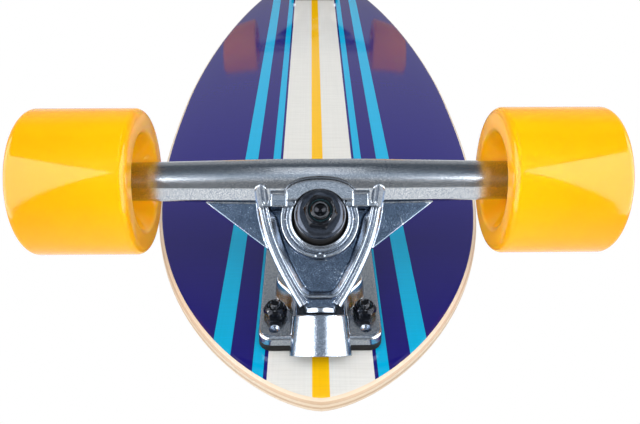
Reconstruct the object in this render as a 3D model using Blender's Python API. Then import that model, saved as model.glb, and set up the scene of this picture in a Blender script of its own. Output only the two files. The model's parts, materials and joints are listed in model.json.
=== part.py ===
"""A pintail cruiser skateboard: plywood deck, two reverse-kingpin trucks and four wheels.

The board stands on its wheels, nose towards -Y. The ground is z = 0 and the origin is under the
middle of the deck. Each truck is drawn once, for the nose, and turned round for the tail.
"""

import math

import bmesh
import bpy
from mathutils import Matrix, Vector

MM = 0.001

# Clearance between pieces that touch on the real board.
FIT = 0.3 * MM

# Deck: the outline is widest in front of the middle, round at the nose and drawn out at the tail.
DECK_LENGTH = 730 * MM
DECK_WIDTH = 214 * MM
WIDEST_FROM_NOSE = 307 * MM
NOSE_FULLNESS = 3.03
NOSE_ROUNDNESS = 1.6
TAIL_FULLNESS = 1.72
TAIL_ROUNDNESS = 1.52
PLY_COUNT = 7
PLY_THICKNESS = 1.2 * MM
DECK_EDGE_RADIUS = 3.6 * MM
CONCAVE_FLAT_WIDTH = 60 * MM
CONCAVE_RISE = 3 * MM
GRIP_THICKNESS = 0.8 * MM
GRIP_INSET = 2.5 * MM
NOSE_OVERHANG = 69.4 * MM
WHEELBASE = 557 * MM

# Wheels and the bearings in them.
WHEEL_DIAMETER = 65 * MM
WHEEL_WIDTH = 49 * MM
WHEEL_LIP_RADIUS = 3.4 * MM
HUB_MOUTH_DIAMETER = 44 * MM
HUB_FLOOR_DIAMETER = 31 * MM
HUB_CHAMFER = 1.5 * MM
BEARING_DIAMETER = 22 * MM
BEARING_WIDTH = 7 * MM
BEARING_RING_WALL = 2 * MM
BEARING_SHIELD_DIP = 0.5 * MM
INNER_RACE_DIAMETER = 12 * MM
BEARING_SPACING = 10 * MM
SPACER_DIAMETER = 10.4 * MM

# Axle and its hardware.
AXLE_DIAMETER = 8 * MM
AXLE_CHAMFER = 1 * MM
AXLE_END_BEYOND_NUT = 1.2 * MM
AXLE_NUT_FLATS = 12.7 * MM
AXLE_NUT_HEIGHT = 6.5 * MM
SPEED_WASHER_DIAMETER = 13.2 * MM
SPEED_WASHER_THICKNESS = 1 * MM

# Truck layout: the steering axis runs from the pivot to the ring that holds the bushings.
AXLE_BELOW_DECK = 65 * MM
STEERING_ANGLE = math.radians(45)
RING_TO_AXLE = 17.3 * MM
AXLE_RAKE = 5.5 * MM
RING_TO_RIM = 42 * MM

# Riser pad and baseplate.
RISER_THICKNESS = 3 * MM
BASEPLATE_WIDTH = 56 * MM
BASEPLATE_OUTER_END = 41.4 * MM
BASEPLATE_INNER_END = 35.4 * MM
BASEPLATE_THICKNESS = 5.5 * MM
BASEPLATE_CORNER = 6 * MM
BASEPLATE_EDGE = 1.5 * MM
BOLT_SPACING_ACROSS = 41.3 * MM
BOLT_SPACING_ALONG = 53.8 * MM
OUTER_BOLTS_FROM_AXLE = 26 * MM
SPARE_HOLE_STEP = 9.5 * MM
PEDESTAL_HEIGHT = 16 * MM
PEDESTAL_NECK_WIDTH = 24.4 * MM
PEDESTAL_NECK_LENGTH = 11 * MM
PEDESTAL_WIDTH = 41 * MM
PEDESTAL_FLARE_LENGTH = 16 * MM
PEDESTAL_BELLY_LENGTH = 8 * MM
PEDESTAL_BACK_WIDTH = 25 * MM
PEDESTAL_DRAFT = 1 * MM
VALLEY_WIDTH = 20.8 * MM
VALLEY_FLOOR = 2 * MM
VALLEY_OVERLAP = 1 * MM
SEAT_WIDTH = 27 * MM
SEAT_THICKNESS = 12 * MM
SEAT_BACK_TOP = 19.5 * MM
SEAT_BACK_FOOT = 28 * MM
PIVOT_HOUSING_LENGTH = 17.3 * MM
PIVOT_HOUSING_RIM_DIAMETER = 23.5 * MM
PIVOT_HOUSING_END_DIAMETER = 27.4 * MM

# Pivot cup and the pivot that turns in it.
CUP_DIAMETER = 18 * MM
CUP_DEPTH = 13.4 * MM
CUP_WALL = 2.4 * MM
CUP_FLOOR = 1.6 * MM
PIVOT_NECK_DIAMETER = 13.8 * MM
PIVOT_NECK_ABOVE_RIM = 1 * MM
PIVOT_TIP_ROUNDING = 2.4 * MM
PIVOT_ROOT_LENGTH = 14 * MM

# Kingpin and bushings.
KINGPIN_DIAMETER = 8 * MM
KINGPIN_CHAMFER = 0.7 * MM
KINGPIN_HEAD_FLATS = 12.7 * MM
KINGPIN_HEAD_HEIGHT = 5.5 * MM
KINGPIN_END_BEYOND_NUT = 1 * MM
KINGPIN_NUT_TURN = math.radians(20)
KINGPIN_NUT_FLATS = 12.7 * MM
KINGPIN_NUT_HEIGHT = 7 * MM
BUSHING_DIAMETER = 23.8 * MM
BARREL_HEIGHT = 14.4 * MM
CONE_HEIGHT = 12.7 * MM
CONE_TOP_DIAMETER = 19.4 * MM
BUSHING_CHAMFER = 1 * MM
WASHER_THICKNESS = 1.6 * MM
WASHER_LIP = 1.2 * MM
WASHER_OVERHANG = 1.2 * MM

# Hanger: the tube, the ring for the bushings and the yoke that joins them to the pivot.
HANGER_WIDTH = 178 * MM
TUBE_END_DIAMETER = 16.9 * MM
TUBE_MIDDLE_DIAMETER = 19.8 * MM
TUBE_MIDDLE_LENGTH = 40 * MM
TUBE_END_CHAMFER = 0.8 * MM
TUBE_FLAT_START = math.radians(15)
TUBE_FLAT_END = math.radians(57)
WEB_THICKNESS = 8 * MM
RING_HOLE_DIAMETER = 13 * MM
RING_DIAMETER = 34.8 * MM
RING_WIDTH = 1.8 * MM
RING_TOP = 5.5 * MM
RING_GROOVE_WIDTH = 0.6 * MM
RING_GROOVE_FLOOR = 4.5 * MM
STEP_TOP = 6.4 * MM
LIP_TOP = 8.2 * MM
LIP_WALL = 0.9 * MM
BOARDSIDE_LIP = 8.2 * MM
RING_NOTCH_WIDTH = 5 * MM
RING_NOTCH_LENGTH = 1 * MM
SHOULDER_TOP = 10.8 * MM
SHOULDER_STOCK = 1 * MM
SHOULDER_WIDTH = 30.2 * MM
SHOULDER_CROWN_WIDTH = 23 * MM
SHOULDER_REACH = 16.5 * MM
SHOULDER_CORNER = 11.3 * MM
SHOULDER_FOOT = 7.7 * MM
YOKE_NOSE_ABOVE_RIM = 3 * MM
YOKE_NOSE_WIDTH = 16.4 * MM
YOKE_WIDTH = 58.4 * MM
YOKE_SWELL = 31 * MM
YOKE_TIP = 12.3 * MM
YOKE_UNDERSIDE = 3.6 * MM
POCKET_FLOOR = -1 * MM
RAIL_TOP = 6.5 * MM
RAIL_WIDTH = 2.4 * MM
RAIL_GROOVE = 0.5 * MM
RAIL_GROOVE_DEPTH = 0.9 * MM
RAIL_ROUNDING = 0.7 * MM
RAIL_FOOT = 2.5 * MM
RAIL_PROUD_OF_TUBE = 1.2 * MM
NOSE_PLATE_LENGTH = 4 * MM
NOSE_PLATE_TOP = 3.5 * MM
PAD_TOP = 8 * MM
PAD_INNER_EDGE = 14.6 * MM
PAD_OUTER_EDGE = 21.5 * MM
PAD_FRONT = 5.8 * MM
PAD_BACK = 11.2 * MM
GUSSET_REACH = 52 * MM
GUSSET_THICKNESS = 3.4 * MM
GUSSET_BELOW_AXLE = 1.5 * MM

# Truck mounting bolts and their lock nuts.
BOLT_DIAMETER = 4.8 * MM
BOLT_HEAD_DIAMETER = 9.4 * MM
BOLT_HEAD_HEIGHT = 2.8 * MM
BOLT_END_BEYOND_NUT = 1.4 * MM
BOLT_NUT_FLATS = 9.5 * MM
BOLT_NUT_HEIGHT = 5.6 * MM

# The nylon ring at the top of every lock nut.
LOCK_RING_HEIGHT = 1.6 * MM
LOCK_RING_STEP = 0.6 * MM

# Facets round each kind of turned piece.
WHEEL_FACETS = 24
RING_FACETS = 24
TUBE_FACETS = 16
BUSHING_FACETS = 16
BEARING_FACETS = 12
HARDWARE_FACETS = 12
STACK_FACETS = 8
BOLT_FACETS = 8
SEAT_ARC_STEPS = 8
YOKE_STEPS = 7
GUSSET_STEP = 3
POCKET_CORNER_STEPS = 4
SHOULDER_STEPS = 4
DECK_STATIONS = 12
DECK_STATION_SPREAD = 1.8
SMOOTH_ANGLE = math.radians(38)
COPLANAR = math.radians(0.05)

# What follows from the sizes above.
DECK_THICKNESS = PLY_COUNT * PLY_THICKNESS
DECK_UNDERSIDE = WHEEL_DIAMETER / 2 + AXLE_BELOW_DECK
FRONT_AXLE_Y = NOSE_OVERHANG - DECK_LENGTH / 2
REAR_AXLE_Y = FRONT_AXLE_Y + WHEELBASE
BEARING_PAIR = 2 * BEARING_WIDTH + BEARING_SPACING
WHEEL_CENTRE = HANGER_WIDTH / 2 + SPEED_WASHER_THICKNESS + BEARING_PAIR / 2
STACK_LENGTH = BEARING_PAIR + 2 * SPEED_WASHER_THICKNESS
AXLE_NUT_START = HANGER_WIDTH / 2 + STACK_LENGTH
AXLE_HALF_LENGTH = AXLE_NUT_START + AXLE_NUT_HEIGHT + AXLE_END_BEYOND_NUT
BUSHING_SEAT = WEB_THICKNESS / 2
BARREL_WASHER = BUSHING_SEAT + FIT + BARREL_HEIGHT + FIT
CONE_WASHER = BUSHING_SEAT + FIT + CONE_HEIGHT + FIT
BASEPLATE_SEAT = BARREL_WASHER + WASHER_THICKNESS + FIT
KINGPIN_POCKET = BASEPLATE_SEAT + SEAT_THICKNESS
KINGPIN_NUT_FACE = CONE_WASHER + WASHER_THICKNESS + FIT
BASEPLATE_TOP = RISER_THICKNESS + BASEPLATE_THICKNESS
BUSHING_POCKET_RADIUS = BUSHING_DIAMETER / 2 + FIT
BOLT_HOLE_RADIUS = BOLT_DIAMETER / 2 + FIT
YOKE_NOSE = RING_TO_RIM - YOKE_NOSE_ABOVE_RIM
DECK_TOP = DECK_UNDERSIDE + DECK_THICKNESS
GRIP_TOP = DECK_TOP + FIT + GRIP_THICKNESS
BOLT_CENTRES_Y = (-OUTER_BOLTS_FROM_AXLE, BOLT_SPACING_ALONG - OUTER_BOLTS_FROM_AXLE)

# In the truck's own frame +Y points to the middle of the board and the deck's underside is z = 0.
# In the steering frame +Y runs along the steering axis and +Z along the kingpin to its nut.
ALONG_STEERING = Vector((0, math.cos(STEERING_ANGLE), -math.sin(STEERING_ANGLE)))
ALONG_KINGPIN = Vector((0, -math.sin(STEERING_ANGLE), -math.cos(STEERING_ANGLE)))
AXLE_POINT = Vector((0, 0, -AXLE_BELOW_DECK))
RING_CENTRE = AXLE_POINT - RING_TO_AXLE * ALONG_STEERING - AXLE_RAKE * ALONG_KINGPIN
STEERING_TURN = Matrix.Rotation(-STEERING_ANGLE, 4, "X") @ Matrix.Rotation(math.pi, 4, "Y")
STEERING_FRAME = Matrix.Translation(RING_CENTRE) @ STEERING_TURN


def make_material(name, color, metallic, roughness):
    material = bpy.data.materials.new(name)
    material.use_nodes = True
    shader = material.node_tree.nodes["Principled BSDF"]
    shader.inputs["Base Color"].default_value = (*color, 1)
    shader.inputs["Metallic"].default_value = metallic
    shader.inputs["Roughness"].default_value = roughness
    material.diffuse_color = (*color, 1)
    return material


def loft(rings, loop=False):
    """A closed solid through rings of equally many points, capped unless it closes on itself."""
    solid = bmesh.new()
    loops = [[solid.verts.new(point) for point in ring] for ring in rings]
    pairs = list(zip(loops, loops[1:]))
    if loop:
        pairs.append((loops[-1], loops[0]))
    else:
        solid.faces.new(loops[0])
        solid.faces.new(loops[-1])
    for low, high in pairs:
        for here in range(len(low)):
            there = (here + 1) % len(low)
            solid.faces.new((low[here], low[there], high[there], high[here]))
    bmesh.ops.recalc_face_normals(solid, faces=solid.faces)
    return solid


def circle(radius, height, facets):
    angles = [2 * math.pi * step / facets for step in range(facets)]
    return [(radius * math.cos(angle), radius * math.sin(angle), height) for angle in angles]


def turned(profile, facets, loop=False):
    """A solid turned about Z from (radius, height) points."""
    return loft([circle(radius, height, facets) for radius, height in profile], loop)


def hexagon(across_flats, limit, height):
    """Twelve points round a hexagon whose corners are turned down to a limiting radius."""
    flat = across_flats / 2
    corner = min(flat / math.cos(math.pi / 6), limit)
    points = []
    for step in range(HARDWARE_FACETS):
        radius = corner if step % 2 else min(flat, limit)
        angle = 2 * math.pi * step / HARDWARE_FACETS
        points.append((radius * math.cos(angle), radius * math.sin(angle), height))
    return points


def lock_nut(across_flats, height, bore):
    """A hexagon nut on z = 0 whose top narrows to the collar of its locking ring."""
    flat = across_flats / 2
    corner = flat / math.cos(math.pi / 6)
    hole = bore / 2 + FIT
    rings = [
        circle(hole, 0, HARDWARE_FACETS),
        hexagon(across_flats, corner, 0),
        hexagon(across_flats, corner, height - LOCK_RING_HEIGHT),
        circle(flat - LOCK_RING_STEP, height, HARDWARE_FACETS),
        circle(hole, height, HARDWARE_FACETS),
    ]
    return loft(rings, loop=True)


def extruded(outline, low, high):
    """A prism on an XY outline."""
    return loft([[(x, y, low) for x, y in outline], [(x, y, high) for x, y in outline]])


def box(x_range, y_range, z_range):
    (left, right), (near, far) = x_range, y_range
    return extruded([(left, near), (right, near), (right, far), (left, far)], *z_range)


def side_profile(points, width):
    """A prism across the board from (y, z) points."""
    half = width / 2
    return loft([[(-half, y, z) for y, z in points], [(half, y, z) for y, z in points]])


def mirrored(outline):
    """An outline on the other side of x = 0, walked the same way round."""
    return [(-point[0], point[1]) for point in reversed(outline)]


def inset_outline(outline, distance):
    """A closed outline moved towards its inside along the bisector at each point."""
    area = sum(a[0] * b[1] - b[0] * a[1] for a, b in zip(outline, outline[1:] + outline[:1]))
    turn = 1 if area > 0 else -1
    points = []
    for index, point in enumerate(outline):
        before = Vector(point) - Vector(outline[index - 1])
        after = Vector(outline[(index + 1) % len(outline)]) - Vector(point)
        normals = [turn * Vector((-edge.y, edge.x)).normalized() for edge in (before, after)]
        bisector = (normals[0] + normals[1]).normalized()
        points.append(tuple(Vector(point) + bisector * distance / bisector.dot(normals[0])))
    return points


def rounded_rectangle(x_range, y_range, radius, steps=3):
    """An outline whose four corners are arcs, counterclockwise."""
    (left, right), (near, far) = x_range, y_range
    centres = [
        (right - radius, far - radius),
        (left + radius, far - radius),
        (left + radius, near + radius),
        (right - radius, near + radius),
    ]
    points = []
    for quarter, (x, y) in enumerate(centres):
        for step in range(steps + 1):
            angle = math.pi / 2 * (quarter + step / steps)
            points.append((x + radius * math.cos(angle), y + radius * math.sin(angle)))
    return points


def bezier(start, pull, end, steps):
    """Points on a quadratic curve, both ends included."""
    start, pull, end = Vector(start), Vector(pull), Vector(end)
    shares = [step / steps for step in range(steps + 1)]
    return [start * (1 - t) ** 2 + pull * 2 * t * (1 - t) + end * t**2 for t in shares]


def moved(solid, matrix):
    bmesh.ops.transform(solid, matrix=matrix, verts=solid.verts)
    bmesh.ops.recalc_face_normals(solid, faces=solid.faces)
    return solid


def mesh_of(solid, name):
    mesh = bpy.data.meshes.new(name)
    solid.to_mesh(mesh)
    solid.free()
    return mesh


def solid_of(mesh):
    """The other way round, for a mesh that is used up in a further step."""
    solid = bmesh.new()
    solid.from_mesh(mesh)
    bpy.data.meshes.remove(mesh)
    return solid


def copies(make_solid, places):
    """One solid that holds a copy at each place."""
    together = bmesh.new()
    for point in places:
        copy = mesh_of(moved(make_solid(), Matrix.Translation(point)), "copy")
        together.from_mesh(copy)
        bpy.data.meshes.remove(copy)
    return together


def combined(body, steps, name):
    """The mesh left after a list of (operation, solid) steps, UNION, DIFFERENCE or INTERSECT."""
    base = bpy.data.objects.new(name + "_blank", mesh_of(body, name + "_blank"))
    bpy.context.collection.objects.link(base)
    tools = []
    for operation, solid in steps:
        tool = bpy.data.objects.new(name + "_tool", mesh_of(solid, name + "_tool"))
        bpy.context.collection.objects.link(tool)
        modifier = base.modifiers.new(operation.title(), "BOOLEAN")
        modifier.operation = operation
        modifier.solver = "EXACT"
        modifier.object = tool
        tools.append(tool)
    bpy.context.view_layer.update()
    graph = bpy.context.evaluated_depsgraph_get()
    mesh = bpy.data.meshes.new_from_object(base.evaluated_get(graph))
    for helper in [base, *tools]:
        bpy.data.objects.remove(helper)
    solid = solid_of(mesh)
    bmesh.ops.dissolve_limit(
        solid, angle_limit=COPLANAR, verts=solid.verts, edges=solid.edges
    )
    return mesh_of(solid, name)


def place(name, mesh, material, parent=None, matrix=None):
    """An object on a mesh, which others may share, set under its parent."""
    if not mesh.materials:
        mesh.materials.append(material)
        mesh.shade_smooth()
        mesh.set_sharp_from_angle(angle=SMOOTH_ANGLE)
    piece = bpy.data.objects.new(name, mesh)
    bpy.context.collection.objects.link(piece)
    piece.parent = parent
    if matrix is not None:
        piece.matrix_local = matrix
    return piece


def add_empty(name, matrix, parent=None):
    empty = bpy.data.objects.new(name, None)
    bpy.context.collection.objects.link(empty)
    empty.parent = parent
    empty.empty_display_size = 20 * MM
    empty.matrix_local = matrix
    return empty


def deck_rise(x):
    """Height that the concave lifts the deck by, at a distance from the centreline."""
    flat = CONCAVE_FLAT_WIDTH / 2
    beyond = max(abs(x) - flat, 0) / (DECK_WIDTH / 2 - flat)
    return CONCAVE_RISE * beyond**2


def deck_outline():
    """The outline down the +X side from nose to tail and back up the other, closer at the tips."""
    widest = WIDEST_FROM_NOSE - DECK_LENGTH / 2
    side = [(0, -DECK_LENGTH / 2)]
    for direction, reach, fullness, roundness in (
        (-1, WIDEST_FROM_NOSE, NOSE_FULLNESS, NOSE_ROUNDNESS),
        (1, DECK_LENGTH - WIDEST_FROM_NOSE, TAIL_FULLNESS, TAIL_ROUNDNESS),
    ):
        half = []
        for step in range(1, DECK_STATIONS):
            share = 1 - (step / DECK_STATIONS) ** DECK_STATION_SPREAD
            width = DECK_WIDTH / 2 * (1 - share**fullness) ** (1 / roundness)
            half.append((width, widest + direction * share * reach))
        side += half if direction < 0 else [(DECK_WIDTH / 2, widest), *reversed(half)]
    side.append((0, DECK_LENGTH / 2))
    return side + mirrored(side[1:-1])


def deck_layer(rim):
    """A sheet that follows the deck's outline and concave.

    The rim lists (inset from the outline, height) from the underside, round the edge, to the top.
    """
    outline = deck_outline()
    solid = bmesh.new()
    rings = []
    for inset, height in rim:
        points = inset_outline(outline, inset)
        rings.append([solid.verts.new((x, y, height + deck_rise(x))) for x, y in points])
    for low, high in zip(rings, rings[1:]):
        for here in range(len(outline)):
            there = (here + 1) % len(outline)
            solid.faces.new((low[here], low[there], high[there], high[here]))
    for ring, (_, height) in ((rings[0], rim[0]), (rings[-1], rim[-1])):
        fill_across(solid, ring, height)
    bmesh.ops.recalc_face_normals(solid, faces=solid.faces)
    return solid


def fill_across(solid, ring, height):
    """Closes a ring with rows across the deck that break at the flat strip and half way out."""
    tail = len(ring) // 2
    rows = [[ring[0]]]
    for station in range(1, tail):
        right = ring[station]
        left = ring[-station]
        flat = min(CONCAVE_FLAT_WIDTH / 2, right.co.x / 2)
        middle = (flat + right.co.x) / 2
        inner = []
        for x in (-middle, -flat, flat, middle):
            inner.append(solid.verts.new((x, right.co.y, height + deck_rise(x))))
        rows.append([left, *inner, right])
    rows.append([ring[tail]])
    for near, far in zip(rows, rows[1:]):
        for column in range(max(len(near), len(far)) - 1):
            corners = [near[min(column, len(near) - 1)], near[min(column + 1, len(near) - 1)]]
            corners += [far[min(column + 1, len(far) - 1)], far[min(column, len(far) - 1)]]
            solid.faces.new(list(dict.fromkeys(corners)))


def deck_bolt_points():
    points = []
    for axle_y, inward in ((FRONT_AXLE_Y, 1), (REAR_AXLE_Y, -1)):
        for bolt_y in BOLT_CENTRES_Y:
            for side in (-1, 1):
                points.append((side * BOLT_SPACING_ACROSS / 2, axle_y + inward * bolt_y, 0))
    return points


def build_deck(maple, grit):
    edge = DECK_EDGE_RADIUS
    corner = edge * (1 - math.sqrt(0.5))
    low, high = DECK_UNDERSIDE, DECK_TOP
    rim = [(edge, low), (corner, low + corner), (0, low + edge)]
    rim += [(0, high - edge), (corner, high - corner), (edge, high)]
    head_radius = BOLT_HEAD_DIAMETER / 2 + FIT
    countersink = [
        (BOLT_HOLE_RADIUS, low - edge),
        (BOLT_HOLE_RADIUS, GRIP_TOP - BOLT_HEAD_HEIGHT - FIT),
        (head_radius, GRIP_TOP - FIT),
        (head_radius, GRIP_TOP + edge),
    ]
    sinks = copies(lambda: turned(countersink, BOLT_FACETS), deck_bolt_points())
    place("deck", combined(deck_layer(rim), [("DIFFERENCE", sinks)], "deck"), maple)
    rim = [(GRIP_INSET, GRIP_TOP - GRIP_THICKNESS), (GRIP_INSET, GRIP_TOP)]
    around_head = [(head_radius, high - edge), (head_radius, GRIP_TOP + edge)]
    holes = copies(lambda: turned(around_head, BOLT_FACETS), deck_bolt_points())
    place("grip_tape", combined(deck_layer(rim), [("DIFFERENCE", holes)], "grip_tape"), grit)


def baseplate_holes():
    """Cutters for the six holes of a baseplate and its riser, in the truck's frame."""
    through = [(BOLT_HOLE_RADIUS, -2 * BASEPLATE_TOP), (BOLT_HOLE_RADIUS, BASEPLATE_TOP)]
    rows = (*BOLT_CENTRES_Y, BOLT_CENTRES_Y[0] - SPARE_HOLE_STEP)
    points = [(side * BOLT_SPACING_ACROSS / 2, y, 0) for y in rows for side in (-1, 1)]
    return copies(lambda: turned(through, BOLT_FACETS), points)


def baseplate_outline():
    half = BASEPLATE_WIDTH / 2
    return rounded_rectangle(
        (-half, half), (-BASEPLATE_OUTER_END, BASEPLATE_INNER_END), BASEPLATE_CORNER
    )


def riser_mesh():
    pad = extruded(baseplate_outline(), -RISER_THICKNESS + FIT, -FIT)
    return combined(pad, [("DIFFERENCE", baseplate_holes())], "riser_pad")


def in_side_view(along, out):
    """The (y, z) in the truck's frame of a point given along the steering axis and the kingpin."""
    point = RING_CENTRE + along * ALONG_STEERING + out * ALONG_KINGPIN
    return point.y, point.z


def on_steering_axis(profile, facets):
    """A solid in the steering frame turned about the steering axis from (radius, along) points."""
    return moved(turned(profile, facets), Matrix.Rotation(-math.pi / 2, 4, "X"))


def slab():
    """The mounting flange. Its underside has stock that is machined off at the riser."""
    outline = baseplate_outline()
    bevelled = inset_outline(outline, BASEPLATE_EDGE)
    layers = (
        (outline, RISER_THICKNESS / 2),
        (outline, BASEPLATE_TOP - BASEPLATE_EDGE),
        (bevelled, BASEPLATE_TOP),
    )
    return loft([[(x, y, -depth) for x, y in points] for points, depth in layers])


def pedestal():
    """The raised body under the kingpin seat, wide in the middle and narrow at both ends."""
    neck = PEDESTAL_NECK_WIDTH / 2
    belly = PEDESTAL_WIDTH / 2
    outer_end = in_side_view(-RING_TO_RIM, 0)[0]
    neck_end = outer_end + PEDESTAL_NECK_LENGTH
    belly_start = neck_end + PEDESTAL_FLARE_LENGTH
    side = [
        (neck, outer_end),
        (neck, neck_end),
        (belly, belly_start),
        (belly - 2 * PEDESTAL_DRAFT, belly_start + PEDESTAL_BELLY_LENGTH),
        (PEDESTAL_BACK_WIDTH / 2, SEAT_BACK_FOOT),
    ]
    outline = side + mirrored(side)
    foot = inset_outline(outline, -PEDESTAL_DRAFT)
    layers = ((foot, -BASEPLATE_TOP + FIT), (outline, -RISER_THICKNESS - PEDESTAL_HEIGHT))
    return loft([[(x, y, z) for x, y in points] for points, z in layers])


def kingpin_seat():
    """The tongue that the kingpin stands on, round about it at the top and cut off behind."""
    half = SEAT_WIDTH / 2
    arc = [math.pi * step / SEAT_ARC_STEPS for step in range(SEAT_ARC_STEPS + 1)]
    outline = [(-half, -RING_TO_RIM), (half, -RING_TO_RIM)]
    outline += [(half * math.cos(angle), half * math.sin(angle)) for angle in arc]
    tongue = extruded(outline, -BASEPLATE_SEAT - 3 * SEAT_THICKNESS, -BASEPLATE_SEAT)
    moved(tongue, STEERING_FRAME)
    seat_top = in_side_view(half, -BASEPLATE_SEAT)[1]
    foot = -BASEPLATE_TOP + FIT
    behind = side_profile(
        [
            (-BASEPLATE_OUTER_END, foot),
            (SEAT_BACK_FOOT, foot),
            (SEAT_BACK_TOP, seat_top),
            (SEAT_BACK_TOP, seat_top - SEAT_THICKNESS),
            (-BASEPLATE_OUTER_END, seat_top - SEAT_THICKNESS),
        ],
        2 * SEAT_WIDTH,
    )
    return solid_of(combined(tongue, [("INTERSECT", behind)], "seat"))


def valley():
    """The cutter for the trough in front of the seat, where the yoke's nose swings.

    It starts a little inside the housing and the seat, which are joined on after it.
    """
    beyond = 2 * BASEPLATE_WIDTH
    floor = -BASEPLATE_TOP - VALLEY_FLOOR
    start = -RING_TO_RIM - VALLEY_OVERLAP
    seat = -BASEPLATE_SEAT - VALLEY_OVERLAP
    foot_y = in_side_view(start, -PIVOT_HOUSING_RIM_DIAMETER / 2)[0]
    slope = in_side_view(0, seat)
    return side_profile(
        [
            in_side_view(start, beyond),
            in_side_view(start, 0),
            (foot_y, floor),
            (slope[0] + slope[1] - floor, floor),
            in_side_view(beyond, seat),
            in_side_view(beyond, beyond),
        ],
        VALLEY_WIDTH,
    )


def head_channel():
    """The slot behind the seat that the kingpin goes in through and that holds its head."""
    reach = KINGPIN_HEAD_FLATS / math.sqrt(3) + FIT
    half = KINGPIN_HEAD_FLATS / 2 + FIT
    beyond = 2 * BASEPLATE_WIDTH
    channel = box((-half, half), (-reach, beyond), (-beyond, -KINGPIN_POCKET))
    return moved(channel, STEERING_FRAME)


def baseplate_mesh():
    beyond = 2 * BASEPLATE_WIDTH
    housing_end = -RING_TO_RIM - PIVOT_HOUSING_LENGTH
    housing = on_steering_axis(
        [
            (PIVOT_HOUSING_END_DIAMETER / 2, housing_end),
            (PIVOT_HOUSING_RIM_DIAMETER / 2, -RING_TO_RIM),
        ],
        RING_FACETS,
    )
    cup_radius = CUP_DIAMETER / 2 + FIT
    cup_bore = on_steering_axis(
        [(cup_radius, -RING_TO_RIM - CUP_DEPTH - FIT), (cup_radius, 0)], BUSHING_FACETS
    )
    kingpin_radius = KINGPIN_DIAMETER / 2 + FIT
    kingpin_bore = turned([(kingpin_radius, -beyond), (kingpin_radius, 0)], HARDWARE_FACETS)
    below = box((-beyond, beyond), (-beyond, beyond), (-RISER_THICKNESS, beyond))
    steps = [
        ("UNION", pedestal()),
        ("DIFFERENCE", valley()),
        ("UNION", moved(housing, STEERING_FRAME)),
        ("UNION", kingpin_seat()),
        ("DIFFERENCE", below),
        ("DIFFERENCE", moved(cup_bore, STEERING_FRAME)),
        ("DIFFERENCE", moved(kingpin_bore, STEERING_FRAME)),
        ("DIFFERENCE", head_channel()),
        ("DIFFERENCE", baseplate_holes()),
    ]
    return combined(slab(), steps, "baseplate")


def yoke_side():
    """The outer edge of the yoke's +X arm, from the nose to the tube."""
    return bezier(
        (YOKE_NOSE_WIDTH / 2, -YOKE_NOSE),
        (YOKE_WIDTH / 2, -YOKE_NOSE + YOKE_SWELL),
        (YOKE_WIDTH / 2, YOKE_TIP),
        YOKE_STEPS,
    )


def tube_flat_height(along, proud=0):
    """Height of the ground flat on the tube, or of a line above it, at a place along the steering axis."""
    middle = (TUBE_FLAT_START + TUBE_FLAT_END) / 2
    half_span = (TUBE_FLAT_END - TUBE_FLAT_START) / 2
    depth = TUBE_MIDDLE_DIAMETER / 2 * math.cos(half_span) + proud
    return AXLE_RAKE + (depth + math.cos(middle) * (along - RING_TO_AXLE)) / math.sin(middle)


def rail(path, section):
    """A bead swept along a path. Where it reaches the tube, its top climbs with the flat there.

    The section lists (distance to the right of the path, height) points. An end on the tube
    is rounded by one more ring, a little further on and lower.
    """
    stations = [(point, 0) for point in path]
    tip = Vector((0, RAIL_ROUNDING))
    if path[0].y > 0:
        stations.insert(0, (path[0] + tip, 2 * RAIL_ROUNDING))
    if path[-1].y > 0:
        stations.append((path[-1] + tip, 2 * RAIL_ROUNDING))
    rings = []
    for index, (point, drop) in enumerate(stations):
        before = stations[max(index - 1, 0)][0]
        ahead = stations[min(index + 1, len(stations) - 1)][0] - before
        right = Vector((ahead.y, -ahead.x)).normalized()
        lift = max(tube_flat_height(point.y, RAIL_PROUD_OF_TUBE) - RAIL_TOP, 0) - drop
        ring = []
        for offset, height in section:
            x, y = point + right * offset
            ring.append((x, y, height + lift if height > POCKET_FLOOR else height))
        rings.append(ring)
    return loft(rings)


def bead_sections():
    """The outer bead with the floor of the groove beside it, and the inner bead with its slope."""
    low = -YOKE_UNDERSIDE + FIT
    shoulder = RAIL_TOP - RAIL_ROUNDING
    groove_floor = RAIL_TOP - RAIL_GROOVE_DEPTH
    bead = [
        (0, low),
        (0, shoulder),
        (RAIL_ROUNDING, RAIL_TOP),
        (RAIL_WIDTH - RAIL_ROUNDING, RAIL_TOP),
    ]
    under_inner = RAIL_WIDTH + 2 * RAIL_GROOVE
    groove = [(RAIL_WIDTH, groove_floor), (under_inner, groove_floor), (under_inner, low)]
    slope_foot = RAIL_WIDTH + RAIL_FOOT
    return bead + groove, bead + [(slope_foot, POCKET_FLOOR), (slope_foot, low)]


def inner_rail_path():
    """The line of the inner bead: down one arm, round the foot of the pocket and up the other."""
    side = yoke_side()
    offset = RAIL_WIDTH + RAIL_GROOVE
    arm = []
    for before, point in zip(side, side[1:]):
        ahead = (point - before).normalized()
        arm.append(point + Vector((-ahead.y, ahead.x)) * offset)
    arm[-1].y -= RAIL_GROOVE
    foot_y = -YOKE_NOSE + NOSE_PLATE_LENGTH
    lean = arm[1] - arm[0]
    pull = arm[0] - lean * (arm[0].y - foot_y) / lean.y
    half = list(reversed(arm)) + bezier(arm[0], pull, (0, foot_y), POCKET_CORNER_STEPS)[1:]
    return half + [Vector(point) for point in mirrored(half[:-1])]


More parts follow.
